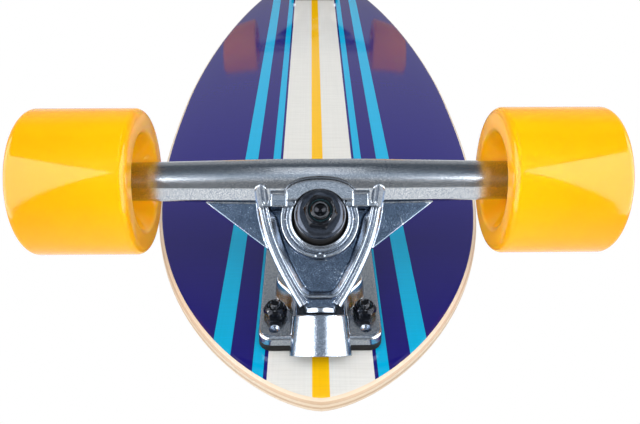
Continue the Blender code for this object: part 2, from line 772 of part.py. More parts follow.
def yoke_steps():
    """What is added to the yoke's floor: two beads on each arm and the plate at the nose."""
    side = yoke_side()
    low = -YOKE_UNDERSIDE + FIT
    plate_end = -YOKE_NOSE + NOSE_PLATE_LENGTH + RAIL_WIDTH
    plate_half = YOKE_NOSE_WIDTH / 2 - RAIL_GROOVE
    lean = (side[1].x - side[0].x) / (side[1].y - side[0].y)
    spread = lean * (plate_end + YOKE_NOSE)
    plate = [
        (plate_half, -YOKE_NOSE + FIT),
        (plate_half + spread, plate_end),
        (-plate_half - spread, plate_end),
        (-plate_half, -YOKE_NOSE + FIT),
    ]
    outer, inner = bead_sections()
    other_side = [(-offset, height) for offset, height in outer]
    return [
        ("UNION", rail(list(reversed(side)), outer)),
        ("UNION", rail([Vector((-x, y)) for x, y in reversed(side)], other_side)),
        ("UNION", rail(inner_rail_path(), inner)),
        ("UNION", extruded(plate, low, NOSE_PLATE_TOP)),
    ]


def gussets():
    """The thin webs between the arms and the tube, one solid for each side."""
    foot = yoke_side()[GUSSET_STEP]
    outline = [
        (foot.x - RAIL_WIDTH / 2, foot.y),
        (GUSSET_REACH, RING_TO_AXLE - TUBE_END_DIAMETER / 2),
        (GUSSET_REACH, RING_TO_AXLE),
        (YOKE_WIDTH / 2 - RAIL_WIDTH, RING_TO_AXLE),
    ]
    top = AXLE_RAKE - GUSSET_BELOW_AXLE
    return [
        ("UNION", extruded(side, top - GUSSET_THICKNESS, top))
        for side in (outline, mirrored(outline))
    ]


def pads():
    """The stock of the two pads beside the shoulder, and the cutters that level them."""
    low = -YOKE_UNDERSIDE + FIT
    inner = PAD_INNER_EDGE - RAIL_WIDTH
    outer = YOKE_WIDTH / 2 - RAIL_WIDTH
    blocks = []
    cuts = []
    for side in (-1, 1):
        stock = sorted((side * inner, side * outer))
        level = sorted((side * PAD_INNER_EDGE, side * PAD_OUTER_EDGE))
        blocks.append(("UNION", box(stock, (PAD_FRONT, RING_TO_AXLE), (low, PAD_TOP + FIT))))
        cuts.append(
            ("DIFFERENCE", box(level, (PAD_FRONT - FIT, PAD_BACK), (PAD_TOP, 3 * SHOULDER_TOP)))
        )
    return blocks, cuts


def bushing_ring():
    """The ring that holds the bushings, stepped towards the road and plain towards the board."""
    outer = RING_DIAMETER / 2
    step = outer - RING_WIDTH - RING_GROOVE_WIDTH
    lip = BUSHING_POCKET_RADIUS + LIP_WALL
    return turned(
        [
            (outer, -BOARDSIDE_LIP),
            (outer, RING_TOP),
            (outer - RING_WIDTH, RING_TOP),
            (outer - RING_WIDTH, RING_GROOVE_FLOOR),
            (step, RING_GROOVE_FLOOR),
            (step, STEP_TOP),
            (lip, STEP_TOP),
            (lip, LIP_TOP),
        ],
        RING_FACETS,
    )


def bushing_pockets():
    """The cutter for both bushing seats and the hole in the web between them."""
    return turned(
        [
            (BUSHING_POCKET_RADIUS, -2 * BOARDSIDE_LIP),
            (BUSHING_POCKET_RADIUS, -BUSHING_SEAT),
            (RING_HOLE_DIAMETER / 2, -BUSHING_SEAT),
            (RING_HOLE_DIAMETER / 2, BUSHING_SEAT),
            (BUSHING_POCKET_RADIUS, BUSHING_SEAT),
            (BUSHING_POCKET_RADIUS, 2 * SHOULDER_TOP),
        ],
        RING_FACETS,
    )


def shoulder_outline():
    """The flat beside the bushing where it bites into the tube, crowned towards the axle."""
    half = SHOULDER_WIDTH / 2
    pull = (SHOULDER_CROWN_WIDTH / 2, SHOULDER_REACH)
    crown = bezier((half, SHOULDER_CORNER), pull, (0, SHOULDER_REACH), SHOULDER_STEPS)
    side = [(half, SHOULDER_FOOT)] + [tuple(point) for point in crown]
    return side + mirrored(side[:-1])


def tube():
    """The axle tube: thickest in the middle, with a flat ground along its leading edge."""
    half = HANGER_WIDTH / 2
    thin = TUBE_END_DIAMETER / 2
    end = [
        (half, thin - TUBE_END_CHAMFER),
        (half - TUBE_END_CHAMFER, thin),
        (TUBE_MIDDLE_LENGTH / 2, TUBE_MIDDLE_DIAMETER / 2),
    ]
    stations = end + [(-x, radius) for x, radius in reversed(end)]
    round_part = 2 * math.pi - (TUBE_FLAT_END - TUBE_FLAT_START)
    angles = [TUBE_FLAT_END + round_part * step / TUBE_FACETS for step in range(TUBE_FACETS + 1)]
    rings = []
    for x, radius in stations:
        ring = []
        for angle in angles:
            along = RING_TO_AXLE - radius * math.cos(angle)
            ring.append((x, along, AXLE_RAKE + radius * math.sin(angle)))
        rings.append(ring)
    return loft(rings)


def pivot():
    """The pin that turns in the pivot cup, and its root under the nose of the yoke."""
    neck = PIVOT_NECK_DIAMETER / 2
    tip = CUP_DIAMETER / 2 - CUP_WALL - FIT
    end = -RING_TO_RIM - CUP_DEPTH + CUP_FLOOR + FIT
    pin = on_steering_axis(
        [
            (tip - PIVOT_TIP_ROUNDING, end),
            (tip - PIVOT_TIP_ROUNDING / 3, end + PIVOT_TIP_ROUNDING / 3),
            (tip, end + PIVOT_TIP_ROUNDING),
            (tip, -RING_TO_RIM),
            (neck, -RING_TO_RIM + PIVOT_NECK_ABOVE_RIM),
            (neck, -YOKE_NOSE + FIT),
        ],
        BUSHING_FACETS,
    )
    root = on_steering_axis(
        [(neck - FIT, -YOKE_NOSE - FIT), (YOKE_UNDERSIDE - FIT, -YOKE_NOSE + PIVOT_ROOT_LENGTH)],
        BUSHING_FACETS,
    )
    beyond = 2 * YOKE_NOSE
    below_pocket = box((-beyond, beyond), (-beyond, beyond), (-beyond, POCKET_FLOOR - FIT))
    root = solid_of(combined(root, [("INTERSECT", below_pocket)], "root"))
    return [("UNION", root), ("UNION", pin)]


def hanger_mesh():
    side = [tuple(point) for point in yoke_side()] + [(YOKE_WIDTH / 2, RING_TO_AXLE)]
    floor = extruded(side + mirrored(side), -YOKE_UNDERSIDE, POCKET_FLOOR)
    pad_blocks, pad_cuts = pads()
    stock_top = SHOULDER_TOP + SHOULDER_STOCK
    shoulder = extruded(shoulder_outline(), -YOKE_UNDERSIDE + FIT, stock_top)
    spot_face = extruded(
        inset_outline(shoulder_outline(), -FIT), SHOULDER_TOP, 3 * SHOULDER_TOP
    )
    notch_half = RING_NOTCH_WIDTH / 2
    notch_y = -RING_DIAMETER / 2 + RING_WIDTH / 2
    notch = box(
        (-notch_half, notch_half),
        (notch_y - RING_NOTCH_LENGTH / 2, notch_y + RING_NOTCH_LENGTH / 2),
        (RING_GROOVE_FLOOR, 2 * LIP_TOP),
    )
    bore_radius = AXLE_DIAMETER / 2 + FIT
    bore = turned([(bore_radius, -HANGER_WIDTH), (bore_radius, HANGER_WIDTH)], HARDWARE_FACETS)
    steps = [
        *yoke_steps(),
        *gussets(),
        *pad_blocks,
        ("UNION", tube()),
        ("UNION", bushing_ring()),
        ("UNION", shoulder),
        ("DIFFERENCE", spot_face),
        *pad_cuts,
        *pivot(),
        ("DIFFERENCE", bushing_pockets()),
        ("DIFFERENCE", notch),
        ("DIFFERENCE", moved(bore, axle_turn(1))),
    ]
    return combined(floor, steps, "hanger")


def axle_turn(side):
    """Steering frame to a frame on the axle whose +Z points outwards on the given side."""
    centre = Matrix.Translation((0, RING_TO_AXLE, AXLE_RAKE))
    return centre @ Matrix.Rotation(side * math.pi / 2, 4, "Y")


def cup_mesh():
    outer = CUP_DIAMETER / 2
    inner = outer - CUP_WALL
    bottom = -RING_TO_RIM - CUP_DEPTH
    profile = [
        (outer - CUP_WALL / 2, bottom),
        (outer, bottom + CUP_WALL / 2),
        (outer, -RING_TO_RIM - FIT),
        (inner, -RING_TO_RIM - FIT),
        (inner, bottom + CUP_FLOOR),
    ]
    return mesh_of(on_steering_axis(profile, BUSHING_FACETS), "pivot_cup")


def bushing_mesh(height, top_diameter, name):
    """A urethane bushing, wide end on z = 0."""
    hole = KINGPIN_DIAMETER / 2 + FIT
    wide = BUSHING_DIAMETER / 2
    narrow = top_diameter / 2
    profile = [
        (hole, 0),
        (wide - BUSHING_CHAMFER, 0),
        (wide, BUSHING_CHAMFER),
        (narrow, height - BUSHING_CHAMFER),
        (narrow - BUSHING_CHAMFER, height),
        (hole, height),
    ]
    return mesh_of(turned(profile, BUSHING_FACETS, loop=True), name)


def washer_mesh(bushing_end, name):
    """A cup washer on z = 0 whose lip reaches down round the end of a bushing."""
    hole = KINGPIN_DIAMETER / 2 + FIT
    inside = bushing_end / 2 + FIT
    rim = bushing_end / 2 + WASHER_OVERHANG
    profile = [
        (hole, 0),
        (inside, 0),
        (inside, -WASHER_LIP),
        (rim, -WASHER_LIP),
        (rim - WASHER_LIP / 2, WASHER_THICKNESS),
        (hole, WASHER_THICKNESS),
    ]
    return mesh_of(turned(profile, BUSHING_FACETS, loop=True), name)


def kingpin_mesh():
    radius = KINGPIN_DIAMETER / 2
    end = KINGPIN_NUT_FACE + KINGPIN_NUT_HEIGHT + KINGPIN_END_BEYOND_NUT
    head = -KINGPIN_POCKET - FIT
    corner = KINGPIN_HEAD_FLATS / math.sqrt(3)
    rings = [
        hexagon(KINGPIN_HEAD_FLATS, KINGPIN_HEAD_FLATS / 2, head - KINGPIN_HEAD_HEIGHT),
        hexagon(KINGPIN_HEAD_FLATS, corner, head - KINGPIN_HEAD_HEIGHT + KINGPIN_CHAMFER),
        hexagon(KINGPIN_HEAD_FLATS, corner, head),
        circle(radius, head, HARDWARE_FACETS),
        circle(radius, end - KINGPIN_CHAMFER, HARDWARE_FACETS),
        circle(radius - KINGPIN_CHAMFER, end, HARDWARE_FACETS),
    ]
    return mesh_of(loft(rings), "kingpin")


def wheel_mesh():
    """A urethane wheel turned about Z, the same on both faces."""
    half = WHEEL_WIDTH / 2
    tread = WHEEL_DIAMETER / 2
    lip = WHEEL_LIP_RADIUS
    soft = lip * (1 - math.sqrt(0.5))
    seat = BEARING_DIAMETER / 2 + FIT
    web = BEARING_DIAMETER / 2 - BEARING_RING_WALL
    face = [
        (web, BEARING_SPACING / 2 - FIT),
        (seat, BEARING_SPACING / 2 - FIT),
        (seat, BEARING_PAIR / 2),
        (HUB_FLOOR_DIAMETER / 2, BEARING_PAIR / 2 + HUB_CHAMFER),
        (HUB_MOUTH_DIAMETER / 2, half),
        (tread - lip, half),
        (tread - soft, half - soft),
        (tread, half - lip),
    ]
    profile = face + [(radius, -height) for radius, height in reversed(face)]
    return mesh_of(turned(profile, WHEEL_FACETS, loop=True), "wheel")


def bearing_mesh():
    """A bearing's outer ring with its two shields, which dip towards the inner race."""
    outer = BEARING_DIAMETER / 2
    shield = INNER_RACE_DIAMETER / 2 + FIT
    half = (BEARING_WIDTH - FIT) / 2
    face = [(shield, half - BEARING_SHIELD_DIP), (outer - BEARING_RING_WALL, half), (outer, half)]
    profile = face + [(radius, -height) for radius, height in reversed(face)]
    return mesh_of(turned(profile, BEARING_FACETS, loop=True), "bearing")


def stack_mesh():
    """Speed washers, inner races and spacer, which the axle nut clamps into one stack."""
    hole = AXLE_DIAMETER / 2 + FIT
    end = STACK_LENGTH / 2 - FIT
    face = [
        (SPACER_DIAMETER / 2, BEARING_SPACING / 2),
        (INNER_RACE_DIAMETER / 2, BEARING_SPACING / 2),
        (INNER_RACE_DIAMETER / 2, BEARING_PAIR / 2),
        (SPEED_WASHER_DIAMETER / 2, BEARING_PAIR / 2),
        (SPEED_WASHER_DIAMETER / 2, end),
        (hole, end),
    ]
    profile = face + [(radius, -height) for radius, height in reversed(face)]
    return mesh_of(turned(profile, STACK_FACETS, loop=True), "axle_stack")


def axle_mesh():
    radius = AXLE_DIAMETER / 2
    end = AXLE_HALF_LENGTH
    profile = [
        (radius - AXLE_CHAMFER, -end),
        (radius, -end + AXLE_CHAMFER),
        (radius, end - AXLE_CHAMFER),
        (radius - AXLE_CHAMFER, end),
    ]
    return mesh_of(turned(profile, HARDWARE_FACETS), "axle")


def bolt_mesh():
    """A countersunk bolt in the truck's frame, its head flush with the grip tape."""
    radius = BOLT_DIAMETER / 2
    head = BOLT_HEAD_DIAMETER / 2
    top = GRIP_TOP - DECK_UNDERSIDE
    end = -BASEPLATE_TOP - FIT - BOLT_NUT_HEIGHT - BOLT_END_BEYOND_NUT
    profile = [(radius, end), (radius, top - BOLT_HEAD_HEIGHT), (head, top - FIT), (head, top)]
    return mesh_of(turned(profile, BOLT_FACETS), "mounting_bolt")


def truck_meshes():
    meshes = {
        "riser_pad": riser_mesh(),
        "baseplate": baseplate_mesh(),
        "pivot_cup": cup_mesh(),
        "kingpin": kingpin_mesh(),
        "bushing_boardside": bushing_mesh(BARREL_HEIGHT, BUSHING_DIAMETER, "barrel_bushing"),
        "bushing_roadside": bushing_mesh(CONE_HEIGHT, CONE_TOP_DIAMETER, "cone_bushing"),
        "washer_boardside": washer_mesh(BUSHING_DIAMETER, "washer_boardside"),
        "washer_roadside": washer_mesh(CONE_TOP_DIAMETER, "washer_roadside"),
        "hanger": hanger_mesh(),
        "axle": axle_mesh(),
        "wheel": wheel_mesh(),
        "bearing": bearing_mesh(),
        "axle_stack": stack_mesh(),
        "bolt": bolt_mesh(),
    }
    for name, flats, height, bore in (
        ("kingpin_nut", KINGPIN_NUT_FLATS, KINGPIN_NUT_HEIGHT, KINGPIN_DIAMETER),
        ("axle_nut", AXLE_NUT_FLATS, AXLE_NUT_HEIGHT, AXLE_DIAMETER),
        ("bolt_nut", BOLT_NUT_FLATS, BOLT_NUT_HEIGHT, BOLT_DIAMETER),
    ):
        meshes[name] = mesh_of(lock_nut(flats, height, bore), name)
    return meshes


def build_truck(end, frame, sides, meshes, materials):
    """One truck. Sides maps the sign of x in the truck's frame to the rider's name for that side."""
    truck = add_empty(f"{end}_truck", frame)
    fixed = add_empty(f"{end}_kingpin_line", STEERING_FRAME, truck)
    steering = add_empty(f"{end}_steering", STEERING_FRAME, truck)
    upside_down = Matrix.Rotation(math.pi, 4, "X")

    def add(kind, material, parent, matrix=None, suffix=""):
        place(f"{end}_{kind}{suffix}", meshes[kind], materials[material], parent, matrix)

    def up_kingpin(height):
        return Matrix.Translation((0, 0, height))

    def down_kingpin(height):
        return Matrix.Translation((0, 0, -height)) @ upside_down

    add("riser_pad", "rubber", truck)
    add("baseplate", "cast", truck)
    add("pivot_cup", "urethane", fixed)
    add("kingpin", "black_steel", fixed)
    add("bushing_boardside", "urethane", fixed, down_kingpin(BUSHING_SEAT + FIT))
    add("bushing_roadside", "urethane", fixed, up_kingpin(BUSHING_SEAT + FIT))
    add("washer_boardside", "black_steel", fixed, down_kingpin(BARREL_WASHER))
    add("washer_roadside", "black_steel", fixed, up_kingpin(CONE_WASHER))
    nut_turn = Matrix.Rotation(KINGPIN_NUT_TURN, 4, "Z")
    add("kingpin_nut", "black_steel", fixed, up_kingpin(KINGPIN_NUT_FACE) @ nut_turn)
    add("hanger", "cast", steering)
    add("axle", "steel", steering, axle_turn(1))
    for side, name in sides.items():
        centre = axle_turn(side) @ Matrix.Translation((0, 0, WHEEL_CENTRE))
        wheel = add_empty(f"{end}_wheel_axis_{name}", centre, steering)
        add("wheel", "wheel_urethane", wheel, suffix=f"_{name}")
        for row, sign in (("inner", -1), ("outer", 1)):
            offset = Matrix.Translation((0, 0, sign * (BEARING_SPACING + BEARING_WIDTH) / 2))
            add("bearing", "steel", wheel, offset, f"_{name}_{row}")
        add("axle_stack", "steel", steering, centre, f"_{name}")
        nut = axle_turn(side) @ Matrix.Translation((0, 0, AXLE_NUT_START))
        add("axle_nut", "black_steel", steering, nut, f"_{name}")
        for bolt_y, row in zip(BOLT_CENTRES_Y, ("outer", "inner")):
            spot = Matrix.Translation((side * BOLT_SPACING_ACROSS / 2, bolt_y, 0))
            add("bolt", "black_steel", truck, spot, f"_{name}_{row}")
            seat = spot @ Matrix.Translation((0, 0, -BASEPLATE_TOP - FIT)) @ upside_down
            flat_outwards = Matrix.Rotation(math.pi / 6, 4, "Z")
            add("bolt_nut", "black_steel", truck, seat @ flat_outwards, f"_{name}_{row}")


def main():
    for old in list(bpy.data.objects):
        bpy.data.objects.remove(old)
    maple = make_material("maple_ply", (0.72, 0.5, 0.3), 0, 0.45)
    grit = make_material("grip_grit", (0.02, 0.02, 0.022), 0, 0.95)
    materials = {
        "rubber": make_material("black_rubber", (0.015, 0.015, 0.016), 0, 0.6),
        "cast": make_material("tumbled_aluminium", (0.62, 0.63, 0.66), 1, 0.32),
        "urethane": make_material("black_urethane", (0.02, 0.02, 0.02), 0, 0.4),
        "steel": make_material("bright_steel", (0.6, 0.6, 0.62), 1, 0.25),
        "black_steel": make_material("black_oxide_steel", (0.03, 0.03, 0.033), 1, 0.35),
        "wheel_urethane": make_material("yellow_urethane", (1, 0.56, 0), 0, 0.2),
    }
    build_deck(maple, grit)
    meshes = truck_meshes()
    front = Matrix.Translation((0, FRONT_AXLE_Y, DECK_UNDERSIDE))
    rear = Matrix.Translation((0, REAR_AXLE_Y, DECK_UNDERSIDE)) @ Matrix.Rotation(math.pi, 4, "Z")
    build_truck("front", front, {1: "left", -1: "right"}, meshes, materials)
    build_truck("rear", rear, {1: "right", -1: "left"}, meshes, materials)
    bpy.context.view_layer.update()


main()
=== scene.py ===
"""The looks of the pintail cruiser skateboard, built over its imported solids.

Each piece is drawn in the frame of what carries it and then moved to its place in the world. In
a truck's frame +Y points to the middle of the board and the deck's underside is z = 0. In its
steering frame +X runs across the board, +Y along the steering axis from the pivot to the
bushings, and +Z along the kingpin to its nut.
"""

import json
import math

import bmesh
import bpy
from mathutils import Matrix, Vector


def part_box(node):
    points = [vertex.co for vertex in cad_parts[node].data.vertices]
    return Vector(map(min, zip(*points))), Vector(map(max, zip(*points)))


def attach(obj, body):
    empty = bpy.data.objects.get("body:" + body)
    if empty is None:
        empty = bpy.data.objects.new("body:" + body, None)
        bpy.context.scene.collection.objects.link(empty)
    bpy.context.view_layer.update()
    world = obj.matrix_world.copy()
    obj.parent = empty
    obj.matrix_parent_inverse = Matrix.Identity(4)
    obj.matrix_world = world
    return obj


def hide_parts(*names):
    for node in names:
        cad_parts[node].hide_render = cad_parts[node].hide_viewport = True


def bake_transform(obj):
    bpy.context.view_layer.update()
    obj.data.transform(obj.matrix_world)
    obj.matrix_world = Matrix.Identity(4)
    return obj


# A millimetre in metres, and the gap between pieces that fit into each other.
MM = 0.001
FIT = 0.3 * MM

# Deck, as in the solids.
DECK_LENGTH = 730 * MM
DECK_WIDTH = 214 * MM
WIDEST_FROM_NOSE = 307 * MM
NOSE_FULLNESS = 3.03
NOSE_ROUNDNESS = 1.6
TAIL_FULLNESS = 1.72
TAIL_ROUNDNESS = 1.52
PLY_COUNT = 7
PLY_THICKNESS = 1.2 * MM
DECK_EDGE_RADIUS = 3.6 * MM
CONCAVE_FLAT_WIDTH = 60 * MM
CONCAVE_RISE = 3 * MM
GRIP_THICKNESS = 0.8 * MM
GRIP_INSET = 2.5 * MM
DECK_STATIONS = 44
DECK_STATION_SPREAD = 1.8
DECK_COLUMNS = 12
EDGE_STEPS = 8

# The print below and the wood on top end where the edge leans by 23 degrees.
PRINT_REACH = math.cos(math.radians(23))

# The printed stripes, by distance from the centreline.
STRIPES = (
    (0, "line"),
    (3.5 * MM, "cream"),
    (23 * MM, "navy"),
    (25 * MM, "cyan"),
    (30 * MM, "navy"),
    (40.5 * MM, "cyan"),
    (49.3 * MM, "navy"),
)
PRINT_COLORS = {
    "line": (1.0, 0.56, 0.004),
    "cream": (0.82, 0.82, 0.79),
    "navy": (0.011, 0.008, 0.150),
    "cyan": (0.0, 0.44, 0.76),
}

# Wheels and bearings.
WHEEL_DIAMETER = 65 * MM
WHEEL_WIDTH = 49 * MM
WHEEL_LIP_RADIUS = 3.4 * MM
HUB_MOUTH_DIAMETER = 44 * MM
HUB_MOUTH_ROUNDING = 1.6 * MM
HUB_FLOOR_DIAMETER = 31 * MM
HUB_CHAMFER = 1.5 * MM
BEARING_DIAMETER = 22 * MM
BEARING_WIDTH = 7 * MM
BEARING_RING_WALL = 2 * MM
BEARING_CHAMFER = 0.4 * MM
INNER_RACE_DIAMETER = 12 * MM
SHIELD_DEPTH = 0.5 * MM
SHIELD_EDGE = 0.5 * MM
SHIELD_GROOVE = 0.2 * MM
BEARING_SPACING = 10 * MM
SPACER_DIAMETER = 10.4 * MM

# Axle and its hardware.
AXLE_DIAMETER = 8 * MM
AXLE_CHAMFER = 1 * MM
AXLE_PITCH = 1.25 * MM
AXLE_END_BEYOND_NUT = 1.2 * MM
AXLE_NUT_FLATS = 12.7 * MM
AXLE_NUT_HEIGHT = 6.5 * MM
SPEED_WASHER_DIAMETER = 13.2 * MM
SPEED_WASHER_THICKNESS = 1 * MM

# Truck layout.
AXLE_BELOW_DECK = 65 * MM
STEERING_ANGLE = math.radians(45)
RING_TO_AXLE = 17.3 * MM
AXLE_RAKE = 5.5 * MM
RING_TO_RIM = 42 * MM

# Riser pad and baseplate.
RISER_THICKNESS = 3.8 * MM
BASEPLATE_WIDTH = 56 * MM
BASEPLATE_OUTER_END = 41.4 * MM
BASEPLATE_INNER_END = 35.4 * MM
BASEPLATE_THICKNESS = 4.7 * MM
BASEPLATE_CORNER = 6 * MM
BASEPLATE_EDGE = 1.5 * MM
BOLT_SPACING_ACROSS = 41.3 * MM
BOLT_SPACING_ALONG = 53.8 * MM
OUTER_BOLTS_FROM_AXLE = 26 * MM
SPARE_HOLE_STEP = 9.5 * MM
SPARE_DIMPLE_RADIUS = 2.2 * MM
SPARE_DIMPLE_DEPTH = 1.5 * MM
SPARE_DIMPLE_ANGLES = range(85, -12, -12)
PEDESTAL_HEIGHT = 15.2 * MM
PEDESTAL_NECK_WIDTH = 24.4 * MM
PEDESTAL_NECK_LENGTH = 11 * MM
PEDESTAL_WIDTH = 41 * MM
PEDESTAL_FLARE_LENGTH = 16 * MM
PEDESTAL_BELLY_LENGTH = 8 * MM
PEDESTAL_BACK_WIDTH = 25 * MM
PEDESTAL_DRAFT = 1 * MM
PEDESTAL_EDGE_OUTSET = 0.1 * MM
PEDESTAL_TOP_INSET = 0.6 * MM
VALLEY_WIDTH = 20.8 * MM
VALLEY_FLOOR = 2 * MM
VALLEY_OVERLAP = 1 * MM
SEAT_WIDTH = 27 * MM
SEAT_THICKNESS = 12 * MM
SEAT_BACK_TOP = 19.5 * MM
SEAT_BACK_FOOT = 28 * MM
PIVOT_HOUSING_LENGTH = 17.3 * MM
PIVOT_HOUSING_RIM_DIAMETER = 23.5 * MM
PIVOT_HOUSING_END_DIAMETER = 27.4 * MM
CUP_DIAMETER = 18 * MM
CUP_DEPTH = 13.4 * MM
CUP_WALL = 2.4 * MM
CUP_FLOOR = 1.6 * MM
CUP_LIP = 0.5 * MM

# Kingpin and bushings.
KINGPIN_DIAMETER = 8 * MM
KINGPIN_CHAMFER = 0.7 * MM
KINGPIN_PITCH = 1.06 * MM
KINGPIN_HEAD_FLATS = 12.7 * MM
KINGPIN_HEAD_HEIGHT = 5.5 * MM
KINGPIN_END_BEYOND_NUT = 1 * MM
KINGPIN_RIM = 0.5 * MM
KINGPIN_DISH = 2.4 * MM
KINGPIN_NUT_TURN = math.radians(20)
KINGPIN_NUT_FLATS = 12.7 * MM
KINGPIN_NUT_HEIGHT = 7 * MM
BUSHING_DIAMETER = 23.8 * MM
BARREL_HEIGHT = 14.4 * MM
CONE_HEIGHT = 12.7 * MM
CONE_TOP_DIAMETER = 19.4 * MM
BUSHING_CHAMFER = 1 * MM
BUSHING_ROOM = 2.4 * MM
BUSHING_FLARE = (0.1, 0.5)
BUSHING_BANDS = 14
WASHER_THICKNESS = 1.6 * MM
WASHER_LIP = 1.2 * MM
WASHER_OVERHANG = 1.2 * MM
WASHER_BEND = 2.4 * MM

# Hanger.
HANGER_WIDTH = 178 * MM
TUBE_END_DIAMETER = 16.9 * MM
TUBE_MIDDLE_DIAMETER = 19.8 * MM
TUBE_MIDDLE_LENGTH = 40 * MM
TUBE_END_CHAMFER = 0.8 * MM
TUBE_FLAT_START = math.radians(15)
TUBE_FLAT_END = math.radians(57)
WEB_THICKNESS = 8 * MM
RING_HOLE_DIAMETER = 13 * MM
RING_DIAMETER = 34.8 * MM
RING_WIDTH = 1.8 * MM
RING_TOP = 5.5 * MM
RING_GROOVE_WIDTH = 0.6 * MM
RING_GROOVE_FLOOR = 4.5 * MM
STEP_TOP = 6.4 * MM
LIP_TOP = 8.2 * MM
LIP_WALL = 0.9 * MM
BOARDSIDE_LIP = 8.2 * MM
RING_NOTCH_WIDTH = 4 * MM
RING_NOTCH_LENGTH = 0.8 * MM
RING_NOTCH_DEPTH = 0.7 * MM
SHOULDER_TOP = 10.8 * MM
SHOULDER_STOCK = 1 * MM
SHOULDER_WIDTH = 30.2 * MM
SHOULDER_CROWN_WIDTH = 23 * MM
SHOULDER_REACH = 16.5 * MM
SHOULDER_CORNER = 11.3 * MM
SHOULDER_FOOT = 7.7 * MM
YOKE_NOSE_ABOVE_RIM = 3 * MM
YOKE_NOSE_WIDTH = 18 * MM
YOKE_WIDTH = 56.4 * MM
YOKE_SWELL = 29.5 * MM
YOKE_TIP = 12.3 * MM
YOKE_UNDERSIDE = 3.6 * MM
POCKET_FLOOR = -1 * MM
RAIL_TOP = 6.5 * MM
RAIL_WIDTH = 2.9 * MM
RAIL_OUTER_ROUNDING = 1.9 * MM
RAIL_ROUNDING = 0.35 * MM
RAIL_GROOVE = 0.7 * MM
RAIL_GROOVE_DEPTH = 1.2 * MM
INNER_BEAD_WIDTH = 1.3 * MM
RAIL_SLOPE_WIDTH = 2.4 * MM
RAIL_SLOPE_DROP = 1.8 * MM
RAIL_SLOPE_NARROWING = 0.3
RAIL_SLOPE_STEEPENING = 0.7
RAIL_FOOT = 0.4 * MM
RAIL_PROUD_OF_TUBE = 1.2 * MM
RAIL_END = 13 * MM
RAIL_TIP_LENGTH = 2.1 * MM
RAIL_TIP_DROP = 0.5 * MM
RAIL_TIP_ANGLES = (25, 45, 60, 72, 82)
RAIL_CLIMB_ROUNDING = 1.2 * MM
NOSE_PLATE_LENGTH = 4 * MM
POCKET_CORNER_LENGTH = 3.6 * MM
NOSE_PLATE_TOP = 3.5 * MM
PAD_TOP = 8 * MM
PAD_INNER_EDGE = 14.6 * MM
PAD_OUTER_EDGE = 21.5 * MM
PAD_FRONT = 5.2 * MM
PAD_BACK = 11.2 * MM
PAD_FILLET = 0.5 * MM
GUSSET_REACH = 52 * MM
GUSSET_THICKNESS = 3.4 * MM
GUSSET_BELOW_AXLE = 1.5 * MM
PIVOT_NECK_DIAMETER = 13.8 * MM
PIVOT_NECK_ABOVE_RIM = 1 * MM
PIVOT_TIP_ROUNDING = 2.4 * MM
PIVOT_ROOT_LENGTH = 14 * MM

# Truck mounting bolts and the rings of all lock nuts.
BOLT_DIAMETER = 4.8 * MM
BOLT_PITCH = 0.8 * MM
BOLT_HEAD_DIAMETER = 9.4 * MM
BOLT_HEAD_HEIGHT = 2.8 * MM
BOLT_KEY_FLATS = 3.2 * MM
BOLT_KEY_DEPTH = 2 * MM
BOLT_KEY_MOUTH_RADIUS = 0.62 * BOLT_KEY_FLATS
BOLT_END_BEYOND_NUT = 1.4 * MM
BOLT_NUT_FLATS = 9.5 * MM
BOLT_NUT_HEIGHT = 5.6 * MM
LOCK_RING_HEIGHT = 1.6 * MM
LOCK_RING_STEP = 0.6 * MM
LOCK_RING_FOLD = 0.5 * MM

# A thread's depth in shares of its pitch, and its rings in each turn. A hexagon's chamfer starts at
# a share of the circle inside it, and rises by a share of its width across the flats.
THREAD_DEPTH = 0.45
THREAD_RINGS = 8
HEX_CHAMFER_START = 0.95
HEX_CHAMFER_LIFT = 0.09
HEX_CHAMFER_STEPS = 5

# How finely the round pieces are drawn, and how the castings are softened.
FINE = 96
HOLE_FACETS = 48
YOKE_STEPS = 42
GUSSET_STEP = 18
NOSE_PLATE_STEP = 6
POCKET_CORNER_STEPS = 10
CASTING_GRAIN = 0.23 * MM
CASTING_SOFTENING = 5
CASTING_SHARE_KEPT = 0.16

# Edges stay sharp in the shading where faces turn by more degrees than this.
SMOOTH_ANGLE = 30
CASTING_SMOOTH_ANGLE = 60

# How far the castings are polished, from 0 in their recesses to 1 on their ground edges. The
# baseplate's valley is kept low as painted shade, and its pedestal's top is kept high as painted
# light where it lies in shade.
POLISH_AND_PAINTED_LIGHT = {
    "dimple": 0.3,
    "slab": 0.95,
    "slab_wall": 0.6,
    "housing": 0.4,
    # Painted shade: the valley floor is kept dark, as well as rough cast.
    "valley": 0.1,
    # Painted light: the pedestal's top is lightened, though it lies in shade.
    "pedestal": 1.0,
    "pedestal_wall": 0.4,
    "ends": 0.4,
    "shoulder": 0.8,
    "pad": 0.42,
    "ring_edge": 0.55,
    "ring": 0.3,
    "gusset": 0.0,
    "bead_tip": 0.6,
    "tube": 0.8,
    "outer_wall": 0.35,
    "bead": 0.5,
    "slope": 0.2,
}

# The yoke's polish rises over bands of height, and the tube's over a band of how far a face looks
# the same way as its ground flat. A level face looks up or down by at least the last two shares.
OUTER_WALL_BAND = (3.6 * MM, 4.2 * MM)
BEAD_BAND = (5.7 * MM, 6.1 * MM)
SLOPE_BAND = (4 * MM, 4.5 * MM)
GROUND_BAND = (0.96, 0.985)
LEVEL = 0.95
NEARLY_LEVEL = 0.9

